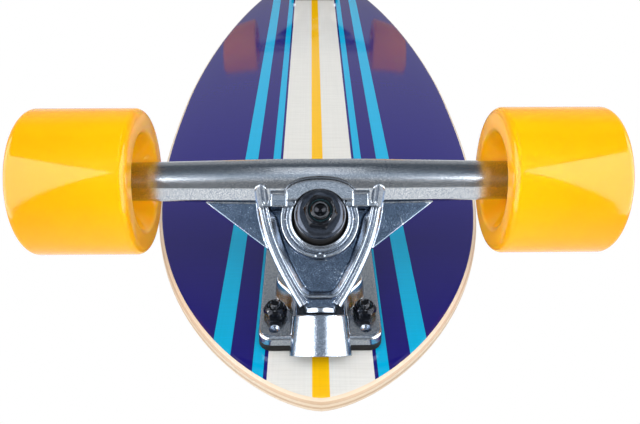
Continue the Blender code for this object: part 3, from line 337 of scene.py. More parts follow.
# What follows from the sizes above.
BEARING_PAIR = 2 * BEARING_WIDTH + BEARING_SPACING
STACK_LENGTH = BEARING_PAIR + 2 * SPEED_WASHER_THICKNESS
AXLE_NUT_START = HANGER_WIDTH / 2 + STACK_LENGTH
AXLE_HALF_LENGTH = AXLE_NUT_START + AXLE_NUT_HEIGHT + AXLE_END_BEYOND_NUT
BUSHING_SEAT = WEB_THICKNESS / 2
BARREL_WASHER = BUSHING_SEAT + FIT + BARREL_HEIGHT + FIT
CONE_WASHER = BUSHING_SEAT + FIT + CONE_HEIGHT + FIT
BASEPLATE_SEAT = BARREL_WASHER + WASHER_THICKNESS + FIT
KINGPIN_POCKET = BASEPLATE_SEAT + SEAT_THICKNESS
KINGPIN_NUT_FACE = CONE_WASHER + WASHER_THICKNESS + FIT
BASEPLATE_TOP = RISER_THICKNESS + BASEPLATE_THICKNESS
BUSHING_POCKET_RADIUS = BUSHING_DIAMETER / 2 + FIT
BOLT_HOLE_RADIUS = BOLT_DIAMETER / 2 + FIT
KINGPIN_HOLE_RADIUS = KINGPIN_DIAMETER / 2 + FIT
YOKE_LOW = -YOKE_UNDERSIDE + FIT
ABOVE_HANGER = 3 * SHOULDER_TOP
YOKE_NOSE = RING_TO_RIM - YOKE_NOSE_ABOVE_RIM
DECK_THICKNESS = PLY_COUNT * PLY_THICKNESS
GRIP_TOP = DECK_THICKNESS + FIT + GRIP_THICKNESS
BOLT_ROWS = (-OUTER_BOLTS_FROM_AXLE, BOLT_SPACING_ALONG - OUTER_BOLTS_FROM_AXLE)
SPARE_ROW = BOLT_ROWS[0] - SPARE_HOLE_STEP
TUBE_FLAT_MIDDLE = (TUBE_FLAT_START + TUBE_FLAT_END) / 2

# The steering frame of a truck in the truck's own frame.
ALONG_STEERING = Vector((0, math.cos(STEERING_ANGLE), -math.sin(STEERING_ANGLE)))
ALONG_KINGPIN = Vector((0, -math.sin(STEERING_ANGLE), -math.cos(STEERING_ANGLE)))
AXLE_POINT = Vector((0, 0, -AXLE_BELOW_DECK))
RING_CENTRE = AXLE_POINT - RING_TO_AXLE * ALONG_STEERING - AXLE_RAKE * ALONG_KINGPIN
STEERING_TURN = Matrix.Rotation(-STEERING_ANGLE, 4, "X") @ Matrix.Rotation(math.pi, 4, "Y")
STEERING_FRAME = Matrix.Translation(RING_CENTRE) @ STEERING_TURN
TO_STEERING_FRAME = STEERING_FRAME.inverted()

# The camera stands in front of the board and looks up at its underside.
CAMERA_PLACE = Vector((0.0029, -0.5338, -0.1130))
CAMERA_PITCH = math.radians(34.28)
CAMERA_YAW = math.radians(0.75)
CAMERA_ROLL = math.radians(0.13)
CAMERA_FOCUS = 622
CAMERA_NEAR = 10 * MM
IMAGE_WIDTH = 640
SENSOR = 36

# What shiny pieces see of the studio, by the turn of a direction about X in degrees: 0 is towards
# the tail, 90 down, 149 towards the camera, 180 past the nose and 270 up.
STUDIO = (
    (0, 0.80), (12, 0.46), (24, 0.46), (36, 0.38), (52, 0.14), (76, 0.12),
    (92, 0.15), (107, 0.26), (122, 0.58), (132, 0.55), (142, 0.45), (155, 0.24),
    (180, 0.24), (205, 0.60), (232, 1.0), (300, 0.95), (350, 0.85), (360, 0.80),
)
STUDIO_SIDES = 0.5
STUDIO_BELOW = (0.88, 1.03, 1.20)
DAYLIGHT = 0.52
FLOOR_FADES_FROM = 0.45
FLOOR_FADES_BY = 1.3

# Lamps round a point in the front truck. Each lights only the shine or only the colour of what it
# reaches. The lamps for +X are given, and those for -X mirror them.
LAMP_AIM = Vector((0, -0.29, 0.03))
SIDE_LAMP_WAY = (0.9, -0.354, -0.257)
SIDE_LAMP_DISTANCE = 0.9
SIDE_LAMP_SIZE = (1.36, 1.36)
SIDE_LAMPS = (("softbox", 29, "shine"), ("sidelight", 17, "color"))
HUB_LAMP_PLACE = (-0.2, -0.55, -0.1)
HUB_LAMP_AIM = (0.088, -0.2956, 0.0325)
HUB_LAMP_POWER = 9
HUB_LAMP_SPREAD = math.radians(7)
HUB_LAMP_SOFTNESS = 0.4
HUB_LAMP_RADIUS = 0.04

# The other lamps, by name, place, aim, size, power and what they light.
LAMPS = (
    ("softbox_below", LAMP_AIM + Vector((0, -0.08, -0.9)), LAMP_AIM, (0.19, 0.65), 0.35, "shine"),
    ("key", (0.0, -1.0, -0.85), (0, -0.3, 0.05), (1.0, 0.5), 6.3, "color"),
    ("backlight", (0.0, 1.8, 0.8), (0, 0.2, 0.05), (1.2, 0.8), 9, "color"),
    ("overhead", (0.3, -0.5, 1.6), (0, 0, 0.1), (1.2, 1.2), 14, "color"),
)


class Value:
    """What a node gives. Arithmetic with it makes the nodes that work it out."""

    def __init__(self, graph, socket):
        self.graph = graph
        self.socket = socket

    def __add__(self, other):
        return self.graph.math("ADD", self, other)

    def __sub__(self, other):
        return self.graph.math("SUBTRACT", self, other)

    def __rsub__(self, other):
        return self.graph.math("SUBTRACT", other, self)

    def __mul__(self, other):
        return self.graph.math("MULTIPLY", self, other)

    def __truediv__(self, other):
        return self.graph.math("DIVIDE", self, other)

    def __abs__(self):
        return self.graph.math("ABSOLUTE", self)


class Graph:
    """Short calls for the nodes of one material or world.

    Its point is the place in the world at rest, or for a world the direction of a ray.
    """

    def __init__(self, tree, coordinates):
        self.nodes = tree.nodes
        self.links = tree.links
        self.point = self.add("TexCoord", {}, coordinates)
        parts = self.node("SeparateXYZ", {"Vector": self.point}).outputs
        self.x, self.y, self.z = [Value(self, part) for part in parts]

    def put(self, socket, value):
        """Sets a socket to a value of another node or to a constant. Colours are opaque."""
        if isinstance(value, Value):
            self.links.new(value.socket, socket)
        elif socket.type == "RGBA":
            socket.default_value = (*value, 1)
        else:
            socket.default_value = value

    def node(self, kind, inputs, **settings):
        node = self.nodes.new("ShaderNode" + kind)
        for key, value in settings.items():
            setattr(node, key, value)
        for key, value in inputs.items():
            self.put(node.inputs[key], value)
        return node

    def add(self, kind, inputs, output=0, **settings):
        return Value(self, self.node(kind, inputs, **settings).outputs[output])

    def math(self, operation, *values):
        return self.add("Math", dict(enumerate(values)), operation=operation)

    def span(self, value, low, high):
        """0 below low and 1 above high, smooth between."""
        inputs = {"Value": value, "From Min": low, "From Max": high}
        return self.add("MapRange", inputs, interpolation_type="SMOOTHSTEP")

    def blend(self, factor, one, other):
        return self.add("Mix", {0: factor, 2: one, 3: other}, data_type="FLOAT")

    def mix(self, factor, one, other, blend="MIX"):
        """Like blend, for colours."""
        inputs = {0: factor, 6: one, 7: other}
        return self.add("Mix", inputs, 2, data_type="RGBA", blend_type=blend)

    def ramp(self, value, stops, interpolation="LINEAR"):
        """Colours by place from 0 to 1."""
        node = self.node("ValToRGB", {"Fac": value})
        ramp = node.color_ramp
        ramp.interpolation = interpolation
        while len(ramp.elements) < len(stops):
            ramp.elements.new(1)
        for element, (place, color) in zip(ramp.elements, stops):
            element.position = place
            element.color = (*color, 1)
        return Value(self, node.outputs[0])

    def noise(self, scale, detail=2, rough=0.5):
        """Noise with so many cells a metre, or a number of them for each direction."""
        vector = self.point
        if isinstance(scale, tuple):
            vector = self.add("Mapping", {"Vector": vector, "Scale": scale})
            scale = 1
        inputs = {"Vector": vector, "Scale": scale, "Detail": detail, "Roughness": rough}
        return self.add("TexNoise", inputs, "Fac")


class Surface(Graph):
    """A material with one principled shader, whose sockets take the constants by name."""

    def __init__(self, name, **constants):
        self.material = bpy.data.materials.new(name)
        self.material.use_nodes = True
        super().__init__(self.material.node_tree, "Object")
        self.shader = self.nodes["Principled BSDF"]
        for key, value in constants.items():
            socket = key.replace("_", " ").title().replace("Ior", "IOR")
            self.shader.inputs[socket].default_value = value

    def finished(self, color, roughness, *bump):
        """The material with its colour, roughness and a bump by (height, depth, strength)."""
        self.put(self.shader.inputs["Base Color"], color)
        self.put(self.shader.inputs["Roughness"], roughness)
        if bump:
            inputs = dict(zip(("Height", "Distance", "Strength"), bump))
            self.put(self.shader.inputs["Normal"], self.add("Bump", inputs))
        return self.material


def gray(value):
    return (value, value, value)


def printed_underside():
    g = Surface("printed_underside", specular_ior_level=0.5)
    half = DECK_WIDTH / 2
    stops = [(start / half, PRINT_COLORS[name]) for start, name in STRIPES]
    stripes = g.ramp(abs(g.x) / half, stops, "CONSTANT")
    grain = g.noise((40, 1500, 1), 3, 0.6)
    veneer = g.noise((900, 14, 1), 3, 0.55)
    tone = grain * 0.26 + veneer * 0.10 + 0.82
    tint = g.add("CombineColor", {0: tone, 1: tone, 2: tone})
    color = g.mix(1.0, stripes, tint, "MULTIPLY")
    return g.finished(color, veneer * 0.08 + 0.04, g.noise((180, 22, 1)), 0.012 * MM, 0.3)


def wood(name, plies):
    """Lacquered maple. On the deck's edge it shows the plies."""
    g = Surface(name, specular_ior_level=0.4)
    fibre = g.noise((700, 12, 700), 4, 0.6)
    pale = g.mix(g.span(fibre, 0.3, 0.7), (0.88, 0.73, 0.56), (0.95, 0.86, 0.72))
    color = g.mix(g.span(g.noise(18), 0.35, 0.7), pale, (0.86, 0.70, 0.52))
    roughness = fibre * 0.15 + 0.35
    if plies:
        flat = CONCAVE_FLAT_WIDTH / 2
        low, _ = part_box("deck")
        beyond = g.math("MAXIMUM", abs(g.x) - flat, 0.0) / (DECK_WIDTH / 2 - flat)
        rise = g.math("POWER", beyond, 2.0) * CONCAVE_RISE
        wander = (g.noise(30) - 0.5) * (0.3 * MM)
        layer = (g.z - rise + wander - low.z) / PLY_THICKNESS
        turn = g.math("FRACT", layer / 2.0)
        crossed = g.span(abs(turn - 0.75), 0.27, 0.23)
        dark = g.mix(fibre, (0.56, 0.34, 0.19), (0.68, 0.46, 0.29))
        color = g.mix(crossed * 0.7, color, dark)
        roughness = fibre * 0.2 + 0.42
    return g.finished(color, roughness, fibre, 0.05 * MM, 0.3)


def grip_grit():
    g = Surface("grip_grit_fine", specular_ior_level=0.35)
    cells = g.node("TexVoronoi", {"Vector": g.point, "Scale": 1300.0}).outputs
    chance = g.add("SeparateColor", {0: Value(g, cells["Color"])})
    sparkle = g.span(chance, 0.93, 0.97)
    wear = g.span(g.noise(9, 4), 0.45, 0.75)
    base = g.mix(wear, (0.014, 0.014, 0.015), (0.034, 0.034, 0.036))
    color = g.mix(sparkle, base, (0.18, 0.18, 0.19))
    grit = Value(g, cells["Distance"])
    return g.finished(color, 0.95 - sparkle * 0.55, grit, 0.4 * MM, 0.9)


def wheel_urethane():
    g = Surface(
        "wheel_urethane",
        specular_ior_level=0.28,
        subsurface_weight=0.4,
        subsurface_scale=0.006,
        subsurface_radius=(1.0, 0.45, 0.05),
    )
    color = g.mix(g.noise(45, 3), (0.98, 0.39, 0.0), (0.98, 0.45, 0.0))
    scuff = g.span(g.noise((40, 260, 260), 5, 0.7), 0.62, 0.85)
    return g.finished(color, scuff * 0.12 + 0.07, g.noise(160), 0.02 * MM, 0.2)


def cast_aluminium():
    """Tumbled casting, ground or polished as far as its mesh says; that map also holds painted
    shade and painted light. Its convex edges are partly worn and partly a painted highlight.
    """
    g = Surface("cast_aluminium", metallic=1.0)
    polish_and_painted_light = g.add("Attribute", {}, "Fac", attribute_name="polish_and_painted_light")
    # Convex edges take the lighter ground colour: partly rubbed by tumbling, partly a painted
    # highlight along the edges.
    worn_and_highlit_edge = g.span(g.add("NewGeometry", {}, "Pointiness"), 0.52, 0.57)
    bright = g.math("MAXIMUM", polish_and_painted_light, worn_and_highlit_edge * 0.7)
    speck = g.noise(2400, 2, 0.7)
    dull = g.ramp(
        speck + (g.noise(160, 3, 0.6) - 0.5) * 0.35,
        [
            (0.30, (0.06, 0.085, 0.13)),
            (0.52, (0.12, 0.17, 0.25)),
            (0.68, (0.20, 0.26, 0.36)),
            (0.78, (0.70, 0.75, 0.82)),
        ],
    )
    shine = g.mix(g.span(speck, 0.38, 0.64), (0.42, 0.47, 0.54), (0.76, 0.79, 0.82))
    swirl = g.noise((90, 420, 420), 3)
    roughness = g.blend(bright, speck * 0.08 + 0.17, swirl * 0.12 + 0.14)
    relief = speck * g.blend(bright, 1.0, 0.12)
    return g.finished(g.mix(bright, dull, shine), roughness, relief, 0.08 * MM, 0.5)


def black_metal(name, dark, light):
    g = Surface(name, metallic=0.75, specular_ior_level=0.5)
    mottle = g.noise(700, 3, 0.6)
    # Convex edges turn grey: partly worn metal, partly a painted highlight along the edges.
    worn_and_highlit_edge = g.span(g.add("NewGeometry", {}, "Pointiness"), 0.53, 0.6)
    color = g.mix(worn_and_highlit_edge * 0.8, g.mix(mottle, dark, light), (0.30, 0.31, 0.33))
    return g.finished(color, mottle * 0.14 + 0.08, mottle, 0.03 * MM, 0.3)


def bright_metal():
    g = Surface("bright_steel_fine", metallic=1.0)
    turned_lines = g.noise((60, 2500, 2500))
    color = g.mix(turned_lines, (0.50, 0.50, 0.52), (0.72, 0.72, 0.73))
    return g.finished(color, turned_lines * 0.15 + 0.15, turned_lines, 0.01 * MM, 0.3)


def soft_black(name, base, shine, grain_size):
    g = Surface(name, specular_ior_level=0.2)
    grain = g.noise(1 / grain_size, 3, 0.6)
    dark = (base, base, base * 1.05)
    light = (base * 1.9, base * 1.9, base * 2.0)
    return g.finished(g.mix(grain, dark, light), grain * 0.15 + shine, grain, 0.05 * MM, 0.4)


def nylon():
    g = Surface("nylon_ring", specular_ior_level=0.5)
    grain = g.noise(1500)
    color = g.mix(grain, (0.008, 0.02, 0.026), (0.014, 0.04, 0.05))
    return g.finished(color, grain * 0.2 + 0.25)


def linked(name, data):
    """A new object in the scene."""
    obj = bpy.data.objects.new(name, data)
    bpy.context.collection.objects.link(obj)
    return obj


def skin(solid, rings):
    """Faces from each ring of vertices to the next."""
    for low, high in zip(rings, rings[1:]):
        for here in range(len(low)):
            there = (here + 1) % len(low)
            solid.faces.new((low[here], low[there], high[there], high[here]))


def loft(rings, loop=False):
    """A closed solid through rings of equally many points, capped unless it closes on itself."""
    solid = bmesh.new()
    loops = [[solid.verts.new(point) for point in ring] for ring in rings]
    if loop:
        loops.append(loops[0])
    else:
        solid.faces.new(loops[0])
        solid.faces.new(loops[-1])
    skin(solid, loops)
    bmesh.ops.recalc_face_normals(solid, faces=solid.faces)
    return solid


def circle(radius, height, facets=FINE):
    angles = [2 * math.pi * step / facets for step in range(facets)]
    return [(radius * math.cos(angle), radius * math.sin(angle), height) for angle in angles]


def circles(profile, facets=FINE):
    return [circle(radius, height, facets) for radius, height in profile]


def turned(profile, facets=FINE, loop=False):
    """A solid turned about Z from (radius, height) points."""
    return loft(circles(profile, facets), loop)


def round_mesh(profile, facets=FINE):
    """The mesh of a ring turned about Z from a closed profile."""
    return mesh_of(turned(profile, facets, loop=True))


def on_steering_axis(profile):
    """A solid turned about the steering axis from (radius, along) points."""
    return moved(turned(profile), Matrix.Rotation(-math.pi / 2, 4, "X"))


def extruded(outline, low, high):
    return loft([[(x, y, low) for x, y in outline], [(x, y, high) for x, y in outline]])


def box(x_range, y_range, z_range):
    (left, right), (near, far) = x_range, y_range
    return extruded([(left, near), (right, near), (right, far), (left, far)], *z_range)


def side_profile(points, width):
    """A prism across the board from (y, z) points."""
    half = width / 2
    return loft([[(-half, y, z) for y, z in points], [(half, y, z) for y, z in points]])


def mirrored(outline):
    """An outline on the other side of x = 0, walked the same way round."""
    return [(-point[0], point[1]) for point in reversed(outline)]


def both_ends(face):
    """A profile from the (radius, height) points of its upper end, with the same below z = 0."""
    return face + [(radius, -height) for radius, height in reversed(face)]


def flipped(rings):
    """Rings on the other side of z = 0, in order upwards."""
    return [[(x, y, -z) for x, y, z in ring] for ring in reversed(rings)]


def inset_outline(outline, distance):
    """A closed outline moved towards its inside along the bisector at each point."""
    area = sum(a[0] * b[1] - b[0] * a[1] for a, b in zip(outline, outline[1:] + outline[:1]))
    turn = 1 if area > 0 else -1
    points = []
    for index, point in enumerate(outline):
        before = Vector(point) - Vector(outline[index - 1])
        after = Vector(outline[(index + 1) % len(outline)]) - Vector(point)
        normals = [turn * Vector((-edge.y, edge.x)).normalized() for edge in (before, after)]
        bisector = (normals[0] + normals[1]).normalized()
        points.append(tuple(Vector(point) + bisector * distance / bisector.dot(normals[0])))
    return points


def stacked(outline, layers):
    """A solid through copies of an outline, from a list of (inset, depth)."""
    rings = []
    for inset, depth in layers:
        rings.append([(x, y, -depth) for x, y in inset_outline(outline, inset)])
    return loft(rings)


def rounded_rectangle(x_range, y_range, radius, steps=10):
    left, right = x_range[0] + radius, x_range[1] - radius
    near, far = y_range[0] + radius, y_range[1] - radius
    points = []
    for quarter, centre in enumerate(((right, far), (left, far), (left, near), (right, near))):
        points += arc(centre, radius, 90 * quarter, 90 * quarter + 90, steps)
    return points


def bezier(start, pull, end, steps):
    start, pull, end = Vector(start), Vector(pull), Vector(end)
    shares = [step / steps for step in range(steps + 1)]
    return [start * (1 - t) ** 2 + pull * 2 * t * (1 - t) + end * t**2 for t in shares]


def arc(centre, radius, start, end, steps):
    """Points on an arc between two angles in degrees, both ends included."""
    x, y = centre
    angles = [math.radians(start + (end - start) * step / steps) for step in range(steps + 1)]
    return [(x + radius * math.cos(angle), y + radius * math.sin(angle)) for angle in angles]


def moved(solid, matrix):
    bmesh.ops.transform(solid, matrix=matrix, verts=solid.verts)
    bmesh.ops.recalc_face_normals(solid, faces=solid.faces)
    return solid


def mesh_of(solid):
    mesh = bpy.data.meshes.new("shape")
    solid.to_mesh(mesh)
    solid.free()
    return mesh


def solid_of(mesh):
    solid = bmesh.new()
    solid.from_mesh(mesh)
    return solid


def copies(make_solid, places):
    """One solid that holds a copy at each place."""
    together = bmesh.new()
    for point in places:
        together.from_mesh(mesh_of(moved(make_solid(), Matrix.Translation(point))))
    return together


def combined(body, *steps):
    """The mesh left after some (operation, solid) steps."""
    base = linked("blank", mesh_of(body))
    helpers = [base]
    for operation, solid in steps:
        modifier = base.modifiers.new(operation, "BOOLEAN")
        modifier.operation = operation
        modifier.solver = "EXACT"
        modifier.object = linked("tool", mesh_of(solid.copy()))
        helpers.append(modifier.object)
    result = evaluated(base)
    for helper in helpers:
        bpy.data.objects.remove(helper)
    return result


def evaluated(obj):
    bpy.context.view_layer.update()
    graph = bpy.context.evaluated_depsgraph_get()
    return bpy.data.meshes.new_from_object(obj.evaluated_get(graph))


def casting(shells, cutters, polish_and_painted_light):
    """One skin over overlapping shells, each cut first, with soft edges and corners.

    Its mesh holds how far each point is polished, by its place and normal. On the baseplate this
    also holds painted shade in the valley and painted light on the pedestal's top.
    """
    together = bmesh.new()
    for shell in shells:
        together.from_mesh(combined(shell, *[("DIFFERENCE", cutter) for cutter in cutters]))
    blank = linked("blank", mesh_of(together))
    cover = blank.modifiers.new("Cover", "REMESH")
    cover.mode = "VOXEL"
    cover.voxel_size = CASTING_GRAIN
    cover.adaptivity = 0
    smooth = blank.modifiers.new("Soften", "SMOOTH")
    smooth.factor = 0.5
    smooth.iterations = CASTING_SOFTENING
    fewer = blank.modifiers.new("Fewer", "DECIMATE")
    fewer.ratio = CASTING_SHARE_KEPT
    mesh = evaluated(blank)
    bpy.data.objects.remove(blank)
    layer = mesh.attributes.new("polish_and_painted_light", "FLOAT", "POINT")
    for vertex, stored in zip(mesh.vertices, layer.data):
        stored.value = polish_and_painted_light(vertex.co, vertex.normal)
    return mesh


def share(value, low, high):
    """0 at low and 1 at high, and on a straight line between."""
    return min(max((value - low) / (high - low), 0), 1)


def place(name, mesh, materials, matrix, body, node, smooth_angle=SMOOTH_ANGLE):
    """A finished piece in its place. It stands for a CAD node and moves with its body."""
    copy = mesh.copy()
    copy.name = name
    copy.transform(matrix)
    slots = [face.material_index for face in copy.polygons]
    copy.materials.clear()
    for material in materials:
        copy.materials.append(material)
    copy.polygons.foreach_set("material_index", slots)
    copy.shade_smooth()
    copy.set_sharp_from_angle(angle=math.radians(smooth_angle))
    piece = linked(name, copy)
    if body:
        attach(piece, body)
    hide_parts(node)
    return piece


def deck_rise(x):
    flat = CONCAVE_FLAT_WIDTH / 2
    beyond = max(abs(x) - flat, 0) / (DECK_WIDTH / 2 - flat)
    return CONCAVE_RISE * beyond**2


def deck_outline():
    """The outline down the +X side from nose to tail and back up the other, closer at the tips."""
    widest = WIDEST_FROM_NOSE - DECK_LENGTH / 2
    side = [(0, -DECK_LENGTH / 2)]
    for direction, reach, fullness, roundness in (
        (-1, WIDEST_FROM_NOSE, NOSE_FULLNESS, NOSE_ROUNDNESS),
        (1, DECK_LENGTH - WIDEST_FROM_NOSE, TAIL_FULLNESS, TAIL_ROUNDNESS),
    ):
        half = []
        for step in range(1, DECK_STATIONS):
            along = 1 - (step / DECK_STATIONS) ** DECK_STATION_SPREAD
            width = DECK_WIDTH / 2 * (1 - along**fullness) ** (1 / roundness)
            half.append((width, widest + direction * along * reach))
        side += half if direction < 0 else [(DECK_WIDTH / 2, widest), *reversed(half)]
    side.append((0, DECK_LENGTH / 2))
    return side + mirrored(side[1:-1])


def deck_layer(rim):
    """A sheet that follows the deck's outline and concave, by (inset, height) from under to top."""
    outline = deck_outline()
    solid = bmesh.new()
    rings = []
    for inset, height in rim:
        points = inset_outline(outline, inset)
        rings.append([solid.verts.new((x, y, height + deck_rise(x))) for x, y in points])
    skin(solid, rings)
    fill_across(solid, rings[0], rim[0][1])
    fill_across(solid, rings[-1], rim[-1][1])
    bmesh.ops.recalc_face_normals(solid, faces=solid.faces)
    return solid


def fill_across(solid, ring, height):
    """Closes a ring with rows of faces across the deck."""
    tail = len(ring) // 2
    rows = [[ring[0]]]
    for station in range(1, tail):
        right, left = ring[station], ring[-station]
        inner = []
        for column in range(1, DECK_COLUMNS):
            x = left.co.x + (right.co.x - left.co.x) * column / DECK_COLUMNS
            inner.append(solid.verts.new((x, right.co.y, height + deck_rise(x))))
        rows.append([left, *inner, right])
    rows.append([ring[tail]])
    for near, far in zip(rows, rows[1:]):
        for column in range(max(len(near), len(far)) - 1):
            corners = [near[min(column, len(near) - 1)], near[min(column + 1, len(near) - 1)]]
            corners += [far[min(column + 1, len(far) - 1)], far[min(column, len(far) - 1)]]
            solid.faces.new(list(dict.fromkeys(corners)))


def cylinder(radius, low, high, facets=FINE):
    return turned([(radius, low), (radius, high)], facets)


def bolt_spots(y):
    """Where the two bolts of a row stand in the truck's frame."""
    return [(side * BOLT_SPACING_ACROSS / 2, y, 0) for side in (-1, 1)]


def holes(radius, low, high, places):
    return copies(lambda: cylinder(radius, low, high, HOLE_FACETS), places)


def build_deck(trucks):
    low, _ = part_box("deck")
    under, top = low.z, low.z + DECK_THICKNESS
    edge = DECK_EDGE_RADIUS
    rim = [(edge - x, under + edge - y) for x, y in arc((0, 0), edge, 90, 0, EDGE_STEPS)]
    rim += [(edge - x, top - edge + y) for x, y in arc((0, 0), edge, 0, 90, EDGE_STEPS)]
    heads = []
    for truck in trucks.values():
        for y in BOLT_ROWS:
            for spot in bolt_spots(y):
                head = truck @ Vector(spot)
                heads.append((head.x, head.y, 0))
    sinks = holes(BOLT_HEAD_DIAMETER / 2 + FIT, under - edge, top + edge, heads)
    deck = combined(deck_layer(rim), ("DIFFERENCE", sinks))
    for face in deck.polygons:
        steep = face.normal.z
        face.material_index = 0 if steep < -PRINT_REACH else 2 if steep > PRINT_REACH else 1
    woods = [printed_underside(), wood("ply_edge", True), wood("deck_top_wood", False)]
    place("deck_board", deck, woods, Matrix(), "board", "deck")
    high = low.z + GRIP_TOP
    rim = [(GRIP_INSET, high - GRIP_THICKNESS), (GRIP_INSET, high - FIT), (GRIP_INSET + FIT, high)]
    grip = combined(deck_layer(rim), ("DIFFERENCE", sinks))
    place("grip_sheet", grip, [grip_grit()], Matrix(), "board", "grip_tape")


def wheel_mesh():
    half = WHEEL_WIDTH / 2
    tread = WHEEL_DIAMETER / 2
    lip = WHEEL_LIP_RADIUS
    seat = BEARING_DIAMETER / 2 + FIT
    floor = HUB_FLOOR_DIAMETER / 2
    mouth = HUB_MOUTH_DIAMETER / 2
    soft = HUB_MOUTH_ROUNDING
    depth = BEARING_PAIR / 2
    face = [(BEARING_DIAMETER / 2 - BEARING_RING_WALL, BEARING_SPACING / 2 - FIT)]
    face += [(seat, BEARING_SPACING / 2 - FIT), (seat, depth - FIT), (seat + FIT, depth)]
    floor_edge = (floor, depth + HUB_CHAMFER)
    floor_end = (floor + FIT, depth + 2 * HUB_CHAMFER)
    face += bezier((floor - soft, depth + HUB_CHAMFER / 2), floor_edge, floor_end, 6)
    face += bezier((mouth - soft / 2, half - soft), (mouth, half), (mouth + soft, half), 6)
    face += arc((tread - lip, half - lip), lip, 90, 0, 12)
    return round_mesh(both_ends(face), 2 * FINE)


def bearing_mesh():
    outer = BEARING_DIAMETER / 2
    shield = INNER_RACE_DIAMETER / 2 + FIT
    half = (BEARING_WIDTH - FIT) / 2
    wall = outer - BEARING_RING_WALL
    bevel = BEARING_CHAMFER
    level = half - SHIELD_DEPTH
    face = [
        (shield, level - bevel),
        (shield + SHIELD_EDGE, level),
        (wall - SHIELD_EDGE, level),
        (wall - SHIELD_GROOVE, level - FIT),
        (wall, half - bevel),
        (wall + bevel, half),
        (outer - bevel, half),
        (outer, half - bevel),
    ]
    return round_mesh(both_ends(face))


def hexagon(across_flats, limit, height):
    """A hexagon of as many points as a circle, its corners turned down to a limiting radius."""
    points = []
    for step in range(FINE):
        angle = 2 * math.pi * step / FINE
        off_flat = (angle + math.pi / 6) % (math.pi / 3) - math.pi / 6
        radius = min(across_flats / 2 / math.cos(off_flat), limit)
        points.append((radius * math.cos(angle), radius * math.sin(angle), height))
    return points


def chamfered(across_flats, height, lift):
    """Rings of a hexagon's chamfer, from nearly a circle at a height to full corners lift away."""
    flat = across_flats / 2
    corner = flat / math.cos(math.pi / 6)
    start = flat * HEX_CHAMFER_START
    rings = []
    for step in range(HEX_CHAMFER_STEPS + 1):
        part = step / HEX_CHAMFER_STEPS
        rings.append(hexagon(across_flats, start + (corner - start) * part, height + lift * part))
    return rings


def lock_nut(across_flats, height, thread):
    """A chamfered hexagon nut on z = 0 with a round collar folded over its nylon ring."""
    hole = thread / 2 + FIT / 3
    collar = across_flats / 2 - LOCK_RING_STEP
    fold = LOCK_RING_FOLD
    body = height - LOCK_RING_HEIGHT
    lift = HEX_CHAMFER_LIFT * across_flats
    lip = (collar + hole) / 2
    rings = [circle(hole, 0)] + chamfered(across_flats, 0, lift)
    rings += reversed(chamfered(across_flats, body + lift / 2, -lift))
    rings += circles([(collar + fold / 2, body + lift / 2), (collar, body + lift)])
    rings += circles(arc((collar - fold, height - fold), fold, 0, 90, 5))
    rings += circles([(lip, height), (lip - fold / 2, height - fold / 2)])
    nylon_start = len(rings) - 1
    rings += circles([(hole + fold / 2, height - fold), (hole, height - 1.5 * fold)])
    solid = loft(rings, loop=True)
    solid.faces.ensure_lookup_table()
    for face in solid.faces[nylon_start * FINE : (nylon_start + 2) * FINE]:
        face.material_index = 1
    return mesh_of(solid)


def thread_rings(radius, pitch, low, high, chamfer):
    """Rings of a screw thread between two heights, and its chamfered end at the high one."""
    depth = THREAD_DEPTH * pitch
    count = round((high - low) / pitch * THREAD_RINGS)
    rings = []
    for index in range(count + 1):
        z = low + (high - low) * index / count
        limit = radius - max(z - (high - chamfer), 0)
        start = share(z, low, low + pitch)
        ring = []
        for step in range(FINE):
            turn = step / FINE
            wave = abs(2 * ((z / pitch - turn) % 1) - 1)
            reach = min(radius - depth * wave * start, limit)
            angle = 2 * math.pi * turn
            ring.append((reach * math.cos(angle), reach * math.sin(angle), z))
        rings.append(ring)
    return rings


def bolt_mesh():
    """A countersunk bolt in the truck's frame, with a hexagon socket in its head."""
    radius = BOLT_DIAMETER / 2
    head = BOLT_HEAD_DIAMETER / 2
    top = GRIP_TOP
    end = BASEPLATE_TOP + FIT + BOLT_NUT_HEIGHT + BOLT_END_BEYOND_NUT
    rings = [circle(radius - BOLT_PITCH, -end + BOLT_PITCH / 2)]
    rings += flipped(thread_rings(radius, BOLT_PITCH, BASEPLATE_TOP, end, BOLT_PITCH / 2))
    rings += circles([(radius, top - BOLT_HEAD_HEIGHT), (head, top - FIT), (head - FIT / 2, top)])
    rings += [circle(BOLT_KEY_MOUTH_RADIUS, top)]
    rings += [hexagon(BOLT_KEY_FLATS, head, top - depth) for depth in (FIT, BOLT_KEY_DEPTH)]
    rings += [circle(BOLT_KEY_FLATS / 8, top - BOLT_KEY_DEPTH - FIT)]
    return mesh_of(loft(rings))


def kingpin_mesh():
    """The kingpin in the steering frame, its head in the baseplate and its end dished."""
    radius = KINGPIN_DIAMETER / 2
    end = KINGPIN_NUT_FACE + KINGPIN_NUT_HEIGHT + KINGPIN_END_BEYOND_NUT
    head = -KINGPIN_POCKET - FIT
    flats = KINGPIN_HEAD_FLATS
    low = head - KINGPIN_HEAD_HEIGHT
    dish = radius - KINGPIN_CHAMFER - KINGPIN_RIM
    floor = end - KINGPIN_DISH
    thread_start = KINGPIN_NUT_FACE - 2 * KINGPIN_PITCH
    rings = [circle(flats / 3, low)] + chamfered(flats, low, HEX_CHAMFER_LIFT * flats)
    rings += [hexagon(flats, flats, head), circle(radius, head)]
    rings += thread_rings(radius, KINGPIN_PITCH, thread_start, end, KINGPIN_CHAMFER)
    rings += circles([(dish, end), (dish - FIT / 2, end - FIT), (dish - FIT, floor)])
    rings += circles([(dish / 3, floor - FIT), (dish / 6, floor - 2 * FIT)])
    return mesh_of(loft(rings))


def axle_mesh():
    start = AXLE_NUT_START - AXLE_PITCH
    radius = AXLE_DIAMETER / 2
    thread = thread_rings(radius, AXLE_PITCH, start, AXLE_HALF_LENGTH, AXLE_CHAMFER)
    return mesh_of(loft(flipped(thread) + thread))


